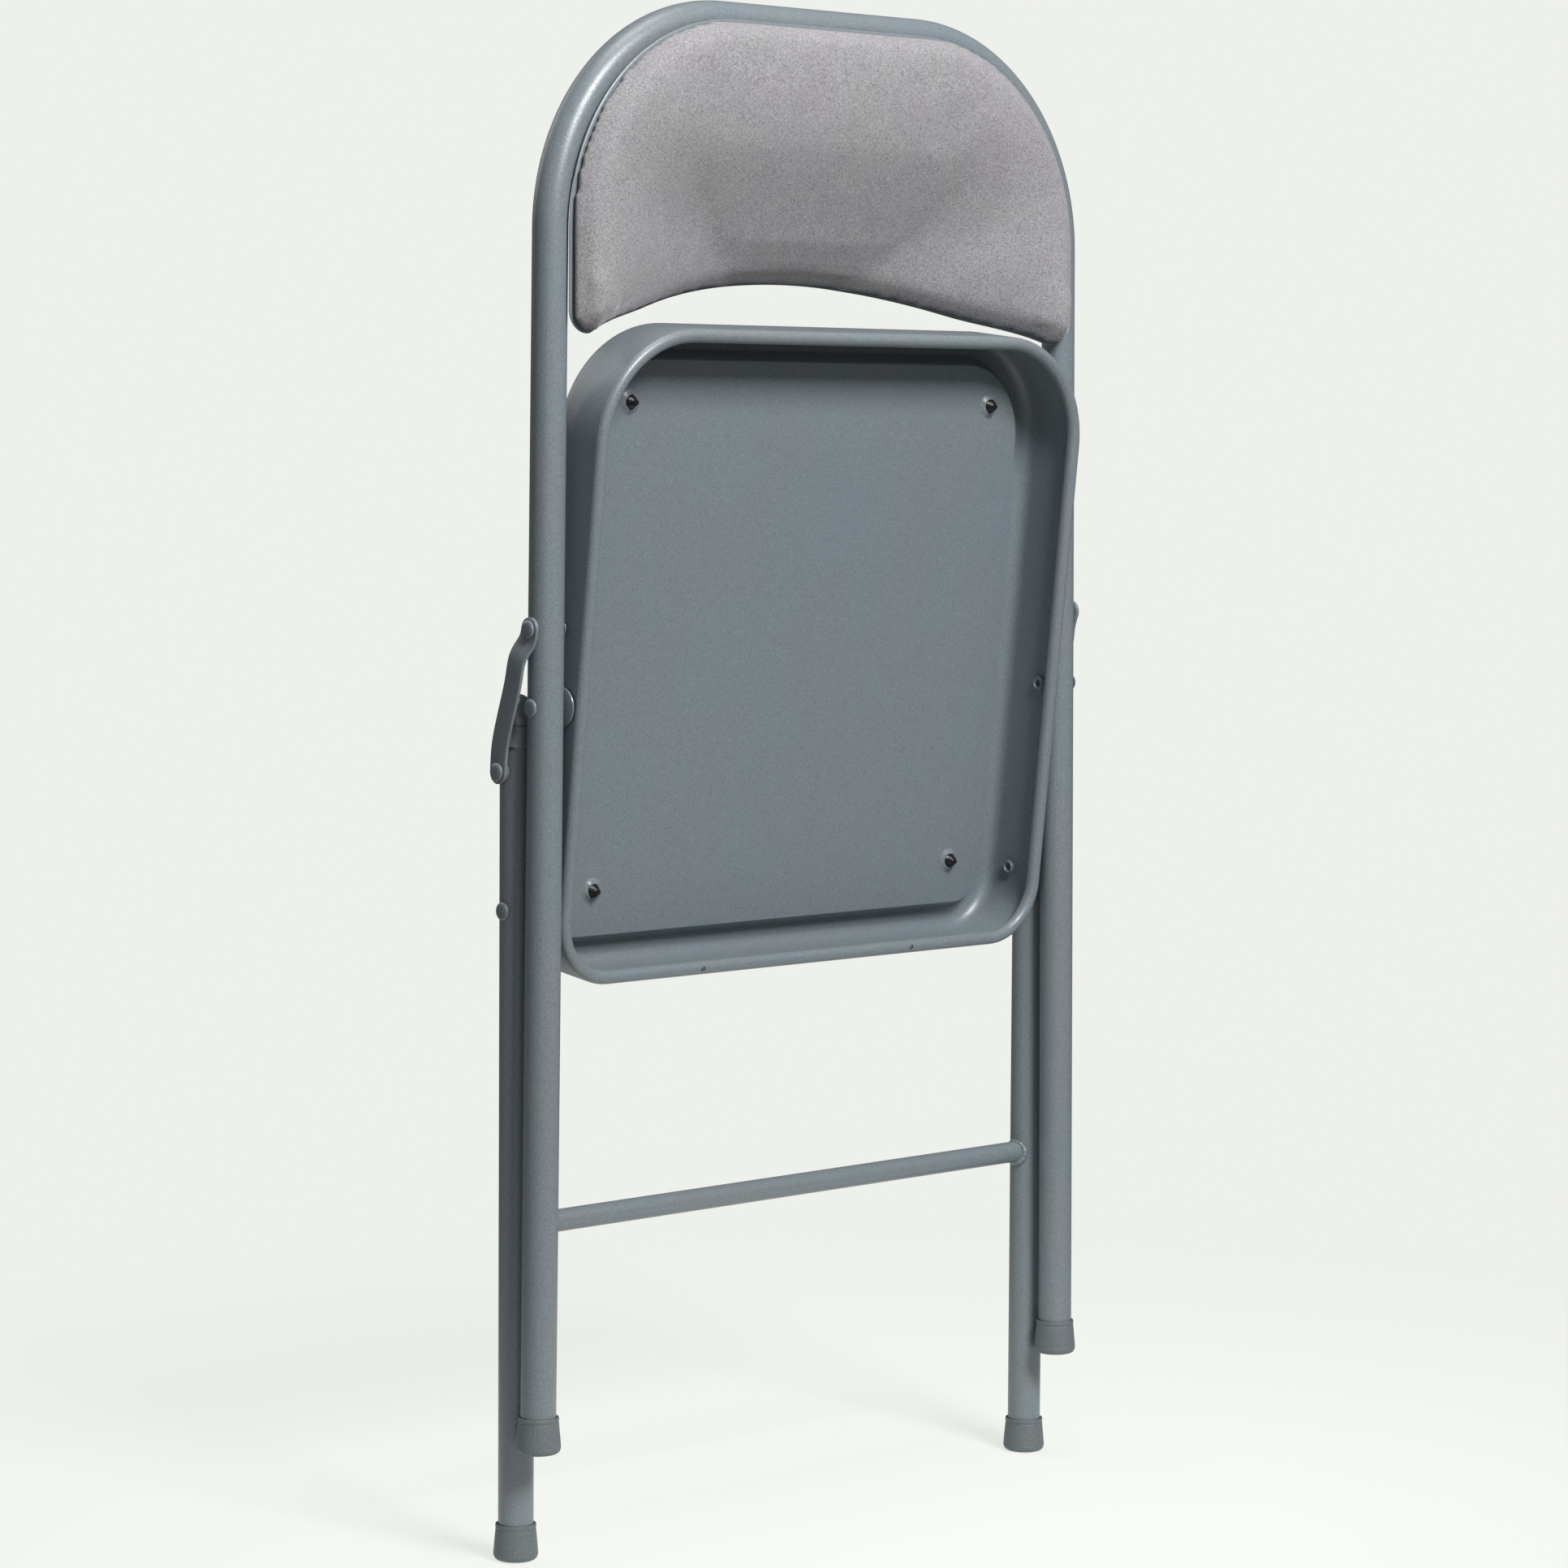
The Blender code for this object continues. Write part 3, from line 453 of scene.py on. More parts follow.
# --- back -------------------------------------------------------------------------------------
def back_upper(inset, steps=28):
    bend_z = TOP_Z - TOP_BEND_R
    half = BACK_EDGE_HALF
    radius = TOP_BEND_R - BACK_INSET
    corner_x = half - BACK_CORNER_R
    corner_z = BACK_CORNER_Z + BACK_CORNER_R
    side = arc((-corner_x, corner_z), BACK_CORNER_R - inset, 250, 180, 10)
    side += [(-half + inset, corner_z + (bend_z - corner_z) * k / 7) for k in range(1, 7)]
    side += arc((-half + radius, bend_z), radius - inset, 180, 90, steps)
    across = -half + radius
    left = side + [(across * (1 - k / 8), TOP_Z - BACK_INSET - inset) for k in range(1, 8)]
    return left + [(0.0, TOP_Z - BACK_INSET - inset)] + [(-x, z) for x, z in reversed(left)]


def back_lower(inset, count):
    corner_x = BACK_EDGE_HALF - BACK_CORNER_R
    corner_z = BACK_CORNER_Z + BACK_CORNER_R
    arch = ARCH_R + inset
    centre_z = ARCH_TOP_Z - ARCH_R
    touch = math.degrees(math.atan2(corner_z - centre_z, -corner_x))
    corner = arc((-corner_x, corner_z), BACK_CORNER_R - inset, 250, touch + 180, 8)
    foot_x, foot_z = corner[-1]
    start = math.atan2(foot_z - centre_z, foot_x)
    reach = math.hypot(foot_x, foot_z - centre_z)
    middle = count - 2 * len(corner)
    points = []
    for k in range(1, middle + 1):
        share = k / (middle + 1)
        a = start + (math.pi - 2 * start) * share
        blend = smooth(6 * min(share, 1 - share))
        r_here = reach + (arch - reach) * blend
        points.append((r_here * math.cos(a), centre_z + r_here * math.sin(a)))
    return corner + points + [(-x, z) for x, z in reversed(corner)]


def inside_edge(x, z):
    radius = TOP_BEND_R - BACK_INSET
    over_x = abs(x) - (BACK_EDGE_HALF - radius)
    over_z = z - (TOP_Z - TOP_BEND_R)
    if over_x > 0 and over_z > 0:
        return radius - math.hypot(over_x, over_z)
    return radius - max(over_x, over_z)


def dish(x, z):
    """How far back the panel is pressed at (x, z)."""
    inner = max(0.0, inside_edge(x, z) - DISH_MARGIN) / (BACK_EDGE_HALF - DISH_MARGIN)
    eased = inner * inner / (inner + DISH_EASE)
    across = 1 - (1 - eased / (1 - DISH_EASE)) ** 2
    down = (TOP_Z - BACK_INSET - z) / (TOP_Z - ARCH_TOP_Z)
    return DISH_DEPTH * across * smooth(down)


def dish_normal(x, z):
    step = 0.001
    slope_x = (dish(x + step, z) - dish(x - step, z)) / (2 * step)
    slope_z = (dish(x, z + step) - dish(x, z - step)) / (2 * step)
    return Vector((-slope_x, 1, -slope_z)).normalized()


def back_layer(profile, rows=22):
    """A closed layer of the back from (inset, distance forward of the tube front) pairs."""
    def place(point, forward):
        x, z = point
        return Vector((x, FRONT_Y - TUBE_R - forward + dish(x, z), z))

    verts, faces, loops = [], [], []
    for inset, forward in profile:
        upper = back_upper(inset)
        lower = back_lower(inset, len(upper))
        loop = upper + lower[-2:0:-1]
        start = len(verts)
        verts += [place(p, forward) for p in loop]
        loops.append(list(range(start, start + len(loop))))
    for a, b in zip(loops, loops[1:]):
        n = len(a)
        faces += [(a[i], a[(i + 1) % n], b[(i + 1) % n], b[i]) for i in range(n)]
    for loop, (inset, forward) in ((loops[0], profile[0]), (loops[-1], profile[-1])):
        upper = back_upper(inset)
        lower = back_lower(inset, len(upper))
        last = len(upper) - 1
        grid = [[loop[0]] + [loop[-i] for i in range(1, last)] + [loop[last]]]
        for r in range(1, rows):
            row = [loop[0]]
            for i in range(1, last):
                x = lower[i][0] + (upper[i][0] - lower[i][0]) * r / rows
                z = lower[i][1] + (upper[i][1] - lower[i][1]) * r / rows
                row.append(len(verts))
                verts.append(place((x, z), forward))
            grid.append(row + [loop[last]])
        grid.append(loop[:last + 1])
        for low, high in zip(grid, grid[1:]):
            for i in range(last):
                faces.append(tuple(dict.fromkeys([low[i], low[i + 1], high[i + 1], high[i]])))
    return verts, faces


def back_panel():
    """The pressed sheet behind the pad, with a soft folded edge."""
    hem = 0.0007
    behind, front = 0.0003, 0.0019
    profile = [
        (0.006, behind), (0.0012, behind), (0.0004, behind + 0.0002), (0.0, behind + hem),
        (0.0, front - hem), (0.0004, front - 0.0002), (0.0012, front), (0.006, front),
    ]
    verts, faces = back_layer(profile)
    panel = make_mesh("back_panel", verts, faces)
    finish_piece(panel, "front_frame", "powder_coat", "backrest_panel")


def back_screw(number, x, z):
    """A pan-head screw with a cross recess, seen from behind."""
    behind = dish_normal(x, z)
    face = Vector((x, FRONT_Y - TUBE_R - 0.0003 + dish(x, z), z))
    head = [
        (0.00002, 0.0), (0.0014, 0.00005), (0.0028, 0.0003), (0.0040, 0.0009), (0.0046, 0.0016),
        (0.0047, 0.0021), (0.0019, 0.0021), (0.0019, 0.0058), (0.00002, 0.0070),
    ]
    top = face + behind * 0.0027
    verts, faces = turned(rounded(head, 2), top, -behind, 36)
    screw = make_mesh(f"back_screw_{number}", verts, faces)
    turn = behind.to_track_quat("Z", "Y").to_matrix().to_4x4()
    cutters = []
    for wide, tall in ((0.0040, 0.0009), (0.0009, 0.0040)):
        slot = box_mesh(f"recess_{number}", (wide, tall, 0.0022))
        slot.matrix_world = Matrix.Translation(top) @ turn
        cutters.append(slot)
    drill(screw, cutters)
    finish_piece(screw, "front_frame", "black_screw", f"backrest_screw_{number}")


def box_mesh(name, size):
    mesh = bpy.data.meshes.new(name)
    bm = bmesh.new()
    bmesh.ops.create_cube(bm, size=1)
    bmesh.ops.scale(bm, vec=size, verts=bm.verts)
    bm.to_mesh(mesh)
    bm.free()
    obj = bpy.data.objects.new(name, mesh)
    bpy.context.scene.collection.objects.link(obj)
    return obj


# --- pads -------------------------------------------------------------------------------------
def inflate(obj, voxel, pressure, cap, held):
    """Swells a closed pad with a short cloth simulation.

    held(point) is from 0, free, to 1, fastened. No point moves further than cap.
    """
    remesh = obj.modifiers.new("remesh", "REMESH")
    remesh.mode = "VOXEL"
    remesh.voxel_size = voxel
    apply_modifiers(obj)
    start = [v.co.copy() for v in obj.data.vertices]
    hold = [held(co) for co in start]
    group = obj.vertex_groups.new(name="held")
    for i, weight in enumerate(hold):
        group.add([i], weight, "REPLACE")
    cloth = obj.modifiers.new("cloth", "CLOTH")
    cloth.settings.vertex_group_mass = "held"
    cloth.settings.pin_stiffness = CLOTH_STIFFNESS
    cloth.settings.use_pressure = True
    cloth.settings.uniform_pressure_force = pressure
    cloth.settings.tension_stiffness = CLOTH_STIFFNESS
    cloth.settings.compression_stiffness = CLOTH_STIFFNESS
    cloth.settings.bending_stiffness = CLOTH_BENDING
    cloth.settings.effector_weights.gravity = 0
    cloth.point_cache.frame_start = 1
    cloth.point_cache.frame_end = CLOTH_FRAMES
    for number in range(1, CLOTH_FRAMES + 1):
        bpy.context.scene.frame_set(number)
    apply_modifiers(obj)
    bpy.context.scene.frame_set(1)
    moves = [(v.co - before) * (1 - weight) for v, before, weight in zip(obj.data.vertices, start, hold)]
    moves = spread_out(obj, moves, SPREAD_PASSES)
    for vertex, before, move in zip(obj.data.vertices, start, moves):
        if move.length > cap:
            move *= cap / move.length
        vertex.co = before + move
    for _ in range(SOFTEN_PASSES):
        soften(obj, hold)
    smoother = obj.modifiers.new("subdivision", "SUBSURF")
    smoother.levels = 1
    smoother.render_levels = 1
    apply_modifiers(obj)
    obj.data.shade_smooth()


def spread_out(obj, moves, passes):
    """Averages each point's move with its neighbours', as the foam under the cloth evens it out."""
    near = [[] for _ in obj.data.vertices]
    for edge in obj.data.edges:
        a, b = edge.vertices
        near[a].append(b)
        near[b].append(a)
    for _ in range(passes):
        moves = [(moves[i] + sum((moves[k] for k in near[i]), Vector())) / (len(near[i]) + 1)
                 for i in range(len(moves))]
    return moves


def soften(obj, hold):
    """One light averaging pass that leaves held points alone."""
    bm = bmesh.new()
    bm.from_mesh(obj.data)
    bm.verts.ensure_lookup_table()
    moved = []
    for vertex in bm.verts:
        near = [edge.other_vert(vertex).co for edge in vertex.link_edges]
        mean = sum(near, Vector()) / len(near)
        moved.append(vertex.co.lerp(mean, 0.5 * (1 - 0.7 * hold[vertex.index])))
    for vertex, co in zip(bm.verts, moved):
        vertex.co = co
    bm.to_mesh(obj.data)
    bm.free()


def back_pad():
    rear, edge = BACK_PAD_REAR, BACK_PAD_EDGE
    front = rear + BACK_PAD_T
    profile = [
        (BACK_BOARD_INSET, rear), (BACK_BOARD_INSET - 0.0012, rear), (BACK_BOARD_INSET - 0.0012, edge),
        (0.0012, edge), (0.0003, edge + 0.0010), (0.0004, edge + 0.0026), (0.0018, edge + 0.0046),
        (0.0042, edge + 0.0066), (0.0085, front - 0.0042), (0.0140, front - 0.0024),
        (0.0220, front - 0.0014), (0.0320, front - 0.0010),
    ]
    verts, faces = back_layer(profile)
    pad = make_mesh("back_pad", verts, faces)

    def held(point):
        forward = FRONT_Y - TUBE_R + dish(point.x, point.z) - point.y
        rim = inside_edge(point.x, point.z)
        return max(smooth(1 - (forward - edge - 0.0015) / 0.003), smooth(1 - (rim - 0.002) / 0.006))

    inflate(pad, 0.003, 4.0, 0.003, held)
    finish_piece(pad, "front_frame", "velvet", "backrest_cushion")


# --- seat -------------------------------------------------------------------------------------
def seat_point(x, along, out):
    y = SEAT_PIVOT.y - along * math.sin(SEAT_TILT) - out * math.cos(SEAT_TILT)
    z = SEAT_PIVOT.z + along * math.cos(SEAT_TILT) - out * math.sin(SEAT_TILT)
    return Vector((x, y, z))


def wall_share(out):
    """0 at the seat panel and below it, 1 at the rim."""
    return min(1.0, max(0.0, (out - PAN_FLOOR) / (RIM_CENTRE - PAN_FLOOR)))


def wall_half(out):
    """Half the pan's outside width: its walls lean out towards the rim."""
    return PAN_HALF + RIM_FLARE * wall_share(out) ** 2


def pan_point(x, along, out):
    """A point of the pan, moved out and down as its walls are towards the rim."""
    wider = wall_half(out) / PAN_HALF
    return seat_point(x * wider, along, out - RIM_SHALLOW * wall_share(out))


SEAT_OUT = (seat_point(0, 0, 1) - seat_point(0, 0, 0)).normalized()


def seat_outline(inset, corner_steps=22):
    half, front, rear = PAN_HALF - inset, PAN_FRONT - inset, PAN_REAR + inset
    r_front = max(PAN_FRONT_CORNER_R - inset, 0.004)
    r_rear = max(PAN_REAR_CORNER_R - inset, 0.004)
    points = arc((half - r_front, front - r_front), r_front, 0, 90, corner_steps)
    points += arc((-half + r_front, front - r_front), r_front, 90, 180, corner_steps)
    points += arc((-half + r_rear, rear + r_rear), r_rear, 180, 270, corner_steps)
    points += arc((half - r_rear, rear + r_rear), r_rear, 270, 360, corner_steps)
    return points


def seat_layer(name, profile):
    rings = []
    for inset, out in profile:
        rings.append([pan_point(x, along, out) for x, along in seat_outline(inset)])
    verts, faces = sweep(rings)
    return make_mesh(name, verts, faces)


def pressed(t):
    """How far down the pressed step is, from 0 to 1: half way from a straight slope to a soft S."""
    return smooth(t) * 0.5 + t * 0.5


def seat_shell():
    """The pressed pan: raised panel, channel, fillet, wall and rolled edge, in one sheet."""
    centre = (PAN_SHEET + PAN_FILLET_R, PAN_CHANNEL + PAN_FILLET_R)
    depth = PAN_FLOOR - PAN_CHANNEL
    step = [(PAN_PANEL_INSET + 0.003, PAN_FLOOR)]
    for k in range(13):
        t = k / 12
        step.append((PAN_PANEL_INSET - PAN_STEP * t, PAN_FLOOR - depth * pressed(t)))
    outer = [(inset + PAN_SHEET / 2, out - PAN_SHEET) for inset, out in step]
    outer += arc(centre, PAN_FILLET_R + PAN_SHEET, 270, 180, 14)
    inner = step + arc(centre, PAN_FILLET_R, 270, 180, 14)
    roll = (RIM_R, RIM_CENTRE)
    outer += arc(roll, RIM_R, 180, -40, 26)
    inner += arc(roll, RIM_R - PAN_SHEET, 180, -40, 26)
    shell = seat_layer("seat_shell", outer + inner[::-1])
    cutters = []
    for sign in (-1, 1):
        along = PAN_REAR + RIM_R
        start = seat_point(sign * RIM_HOLE_HALF, along, RIM_CENTRE - 0.0005)
        verts, faces = turned([(0.0018, 0), (0.0018, 0.006)], start, SEAT_OUT, 28)
        cutters.append(make_mesh(f"hole_{sign}", verts, faces))
    drill(shell, cutters)
    finish_piece(shell, "seat", "powder_coat", "seat_pan")


def pan_burr(number, x, along):
    """The sheet that a screw has pushed up round its hole."""
    centre = seat_point(x, along, PAN_FLOOR)
    profile = [
        (0.0041, -0.0006), (0.0088, -0.0002), (0.0072, 0.0003), (0.0060, 0.0011),
        (0.0050, 0.0019), (0.0044, 0.0019), (0.0041, 0.0010),
    ]
    verts, faces = turned(profile, centre, SEAT_OUT, 40, closed_profile=True)
    shaped = []
    for v in verts:
        rise = (v - centre).dot(SEAT_OUT)
        lean = 1 + 0.55 * noise.noise((v - centre) * 260 + Vector((number * 3.1, 0, 0)))
        shaped.append(v + SEAT_OUT * max(rise, 0) * (lean - 1))
    finish_piece(make_mesh(f"pan_burr_{number}", shaped, faces), "seat", "powder_coat")


def seat_screw(number, x, along):
    """A machine screw with a cut helical thread and a tapered point."""
    board_out = PAN_FLOOR - PAN_SHEET - GAP - SEAT_BOARD_T
    base = board_out - GAP - 0.0024
    length = PAN_FLOOR - base
    tip = length + 0.0066
    pitch, sides, per_turn = 0.0010, 36, 8
    turn = SEAT_OUT.to_track_quat("Z", "Y").to_matrix()
    rings = []
    heights = [0.0, 0.0001, 0.0012, 0.0022, 0.0022]
    radii = [0.00002, 0.0068, 0.0074, 0.0070, 0.0033]
    for radius, z in zip(radii, heights):
        rings.append([(radius, z)] * sides)
    count = int((tip - 0.0030) / pitch * per_turn)
    for k in range(count + 1):
        z = 0.0030 + (tip - 0.0030) * k / count
        taper = 1 - 0.52 * smooth((z - length - 0.0026) / 0.0042)
        ring = []
        for i in range(sides):
            phase = z / pitch - i / sides
            tooth = abs((phase % 1.0) - 0.5) * 2
            ring.append(((0.0032 + 0.0006 * tooth) * taper, z))
        rings.append(ring)
    rings.append([(0.0008, tip + 0.0002)] * sides)
    origin = seat_point(x, along, base)
    placed = []
    for ring in rings:
        row = []
        for i, (radius, z) in enumerate(ring):
            a = 2 * math.pi * i / sides
            row.append(origin + turn @ Vector((radius * math.cos(a), radius * math.sin(a), z)))
        placed.append(row)
    verts, faces = sweep(placed)
    finish_piece(make_mesh(f"screw_{number}", verts, faces), "seat", "black_screw", f"seat_screw_{number}")


def seat_pad():
    board_in = PAN_FLOOR - PAN_SHEET - GAP
    pocket = board_in - SEAT_BOARD_T - GAP
    top = pocket - SEAT_PAD_T
    profile = [
        (0.0300, pocket - 0.0030), (0.0278, pocket - 0.0024), (0.0272, pocket), (0.0086, pocket),
        (0.0082, pocket - 0.0010), (0.0100, pocket - 0.0046), (0.0140, pocket - 0.0092),
        (0.0205, top + 0.0078), (0.0300, top + 0.0042), (0.0440, top + 0.0026), (0.0650, top + 0.0020),
    ]
    pad = seat_layer("seat_pad", profile)

    def held(point):
        out = (point - SEAT_PIVOT).dot(SEAT_OUT)
        return smooth((out - pocket + 0.005) / 0.003)

    inflate(pad, 0.0045, 4.0, 0.006, held)
    finish_piece(pad, "seat", "velvet", "seat_cushion")


# --- rear frame -------------------------------------------------------------------------------
def rear_leg(side, sign):
    x = sign * REAR_HALF
    heights = (0.0036, 0.1, 0.2, 0.3, 0.4, REAR_TUBE_TOP_Z)
    verts, faces = tube_along([Vector((x, REAR_Y, z)) for z in heights], TUBE_R)
    piece = make_mesh(f"rear_tube_{side}", verts, faces)
    finish_piece(piece, "rear_frame", "powder_coat", f"rear_leg_{side}")


def rear_cap(side, sign):
    """A glossy moulded dome with a skirt and a parting groove."""
    bore = TUBE_R + GAP
    skirt = 0.013
    lip = CAP_R - 0.0001
    profile = [(bore, skirt), (bore, 0.0), (lip - 0.0006, 0.0), (lip, 0.0007), (lip, skirt - 0.0009)]
    profile += [(lip - 0.0007, skirt - 0.0003), (lip - 0.0007, skirt + 0.0004)]
    profile += [(lip - 0.0002, skirt + 0.0008)]
    for k in range(15):
        a = math.radians(89.5 * k / 14)
        profile.append(((CAP_R - 0.0003) * math.cos(a), skirt + 0.0010 + 0.0175 * math.sin(a)))
    origin = (sign * REAR_HALF, REAR_Y, REAR_TUBE_TOP_Z - skirt + 0.0004)
    verts, faces = turned(profile, origin, (0, 0, 1), 56)
    piece = make_mesh(f"leg_cap_{side}", verts, faces)
    finish_piece(piece, "rear_frame", "nylon", f"rear_leg_cap_{side}")


def crossbar():
    """The thin tube between the rear legs, ends saddled round them."""
    end = REAR_HALF - 0.003
    inner = CROSSBAR_R - 0.0010
    profile = [(CROSSBAR_R, -end), (CROSSBAR_R, -end / 2), (CROSSBAR_R, end / 2), (CROSSBAR_R, end)]
    profile += [(inner, end), (inner, -end)]
    origin = Vector((0, REAR_Y, CROSSBAR_Z))
    verts, faces = turned(profile, origin, (1, 0, 0), 48, closed_profile=True)
    bar = make_mesh("crossbar", verts, faces)
    cutters = []
    for sign in (-1, 1):
        start = origin + Vector((sign * REAR_HALF, 0, -0.03))
        shape = turned([(TUBE_R + 0.0001, 0), (TUBE_R + 0.0001, 0.06)], start, (0, 0, 1), 64)
        cutters.append(make_mesh(f"saddle_{sign}", *shape))
    drill(bar, cutters)
    finish_piece(bar, "rear_frame", "powder_coat", "rear_crossbar")
    for side, sign in SIDES.items():
        weld_bead(side, sign, origin)


def weld_bead(side, sign, origin):
    """A lumpy bead laid round the saddle, heavier underneath and in front."""
    rings = []
    count, sides = 72, 10
    for k in range(count):
        a = 2 * math.pi * k / count
        radial = Vector((0, math.cos(a), math.sin(a)))
        depth = math.sqrt(max((TUBE_R + 0.0003) ** 2 - (CROSSBAR_R * math.cos(a)) ** 2, 0))
        seam = origin + radial * (CROSSBAR_R + 0.0002) + Vector((sign * (REAR_HALF - depth), 0, 0))
        ripple = 0.5 + 0.5 * math.cos(a * 17)
        heavy = smooth(0.5 - 0.6 * math.sin(a) - 0.35 * math.cos(a))
        lump = noise.noise(Vector((math.cos(a), math.sin(a), sign)) * 2.3)
        size = 0.0010 + 0.0005 * ripple + 0.0010 * heavy + 0.0004 * lump
        ring = []
        for i in range(sides):
            b = 2 * math.pi * i / sides
            ring.append(seam + radial * size * math.cos(b) + Vector((size * math.sin(b), 0, 0)))
        rings.append(ring)
    verts, faces = sweep(rings, closed_profile=True)
    finish_piece(make_mesh(f"weld_{side}", verts, faces, 70), "rear_frame", "powder_coat")


# --- straps -----------------------------------------------------------------------------------
def strap_centre():
    drop = LINK_TOP.z - LINK_BOTTOM_Z
    back = REAR_Y - FRONT_Y
    lift = STRAP_JOGGLE
    corners = [(0, 0, 0), (0.0024, -0.0068, 0), (0.0074, -0.0175, lift), (0.0123, -0.035, lift)]
    corners += [(0.0228, -0.067, lift), (back, -drop, lift)]
    points = [Vector(corners[0])]
    padded = [Vector(corners[0])] + [Vector(c) for c in corners] + [Vector(corners[-1])]
    for k in range(1, len(padded) - 2):
        p0, p1, p2, p3 = padded[k - 1:k + 3]
        for step in range(1, 9):
            t = step / 8
            linear = 2 * p1 + (p2 - p0) * t
            square = (2 * p0 - 5 * p1 + 4 * p2 - p3) * t ** 2
            cubic = (3 * p1 - p0 - 3 * p2 + p3) * t ** 3
            points.append((linear + square + cubic) / 2)
    return points


def strap(side, sign):
    """The flat steel strap with round ends and softly rolled edges."""
    centre = strap_centre()
    stations = []
    for k, point in enumerate(centre):
        along = centre[min(k + 1, len(centre) - 1)] - centre[max(k - 1, 0)]
        stations.append((point, Vector((along.x, along.y, 0)).normalized(), STRAP_HALF_W))
    first, last = stations[0], stations[-1]
    for k in range(1, 13):
        angle = math.radians(88 * k / 12)
        beyond, half_w = STRAP_HALF_W * math.sin(angle), STRAP_HALF_W * math.cos(angle)
        stations.insert(0, (first[0] - first[1] * beyond, first[1], half_w))
        stations.append((last[0] + last[1] * beyond, last[1], half_w))
    inner = front_half(LINK_TOP.z) + TUBE_R + STRAP_GAP
    edge = [(0.0, 0.0006), (0.0001, 0.0003), (0.0003, 0.0001), (0.0006, 0.0)]
    edge += [(STRAP_T - out, inset) for out, inset in reversed(edge)]
    rings = []
    for point, along, half_w in stations:
        across = Vector((-along.y, along.x, 0))
        ring = [point + across * max(half_w - inset, half_w / 2) + Vector((0, 0, out)) for out, inset in edge]
        ring += [point - across * max(half_w - inset, half_w / 2) + Vector((0, 0, out))
                 for out, inset in reversed(edge)]
        rings.append([Vector((sign * (inner + p.z), FRONT_Y + p.x, LINK_TOP.z + p.y)) for p in ring])
    verts, faces = sweep(rings)
    piece = make_mesh(f"strap_{side}", verts, faces)
    finish_piece(piece, f"link_{side}", "powder_coat", f"link_{side}")


# --- rivets and spacers -----------------------------------------------------------------------
def fastener(name, profile, x_start, sign, y, z, body, slot, node, closed=False):
    verts, faces = turned(profile, (sign * x_start, y, z), (-sign, 0, 0), 40, closed)
    finish_piece(make_mesh(name, verts, faces), body, slot, node)


def head_profile(height):
    """A low flat-topped rivet head with a rolled edge."""
    r = RIVET_HEAD_R
    return [
        (0.00002, 0.00005), (r * 0.50, 0.00008), (r * 0.78, 0.00028), (r * 0.90, 0.00062),
        (r * 0.98, height * 0.55), (r, height * 0.75), (r * 0.985, height),
    ]


def pivot_rivet(name, node, outer_x, wall_x, lift, sign, pivot, body):
    """Head outside the tube, shank through, and a flared eyelet inside the pan."""
    height = 0.0020
    wall = outer_x + GAP + height - (wall_x - PAN_SHEET) + lift
    profile = head_profile(height) + [(RIVET_R, height), (RIVET_R, wall)]
    profile += [(0.0042, wall), (0.0049, wall + 0.0004), (0.0050, wall + 0.0008), (0.0046, wall + 0.0010)]
    profile += [(0.0041, wall + 0.0008), (0.0040, wall + 0.0014), (0.0036, wall + 0.0018)]
    profile += [(0.0030, wall + 0.0017), (0.0025, wall + 0.0011), (0.0022, wall + 0.0002)]
    profile += [(0.0020, wall - 0.004), (0.00002, wall - 0.0041)]
    fastener(name, profile, outer_x + GAP + height, sign, pivot.y, pivot.z, body, "powder_coat", node)


def spacer(name, node, tube_inner_x, wall_x, rim_r, sign, pivot, body):
    start = tube_inner_x - GAP
    reach = start - (wall_x + 0.0012)
    bore = RIVET_R + GAP
    profile = [
        (bore, 0.0), (rim_r - 0.0004, 0.0), (rim_r + 0.0001, 0.0002), (rim_r + 0.0003, 0.0007),
        (rim_r, 0.0013), (rim_r * 0.86, reach * 0.42), (0.0068, reach - 0.0014), (0.0060, reach - 0.0004),
        (0.0055, reach), (bore, reach),
    ]
    fastener(name, profile, start, sign, pivot.y, pivot.z, body, "nylon", node, closed=True)


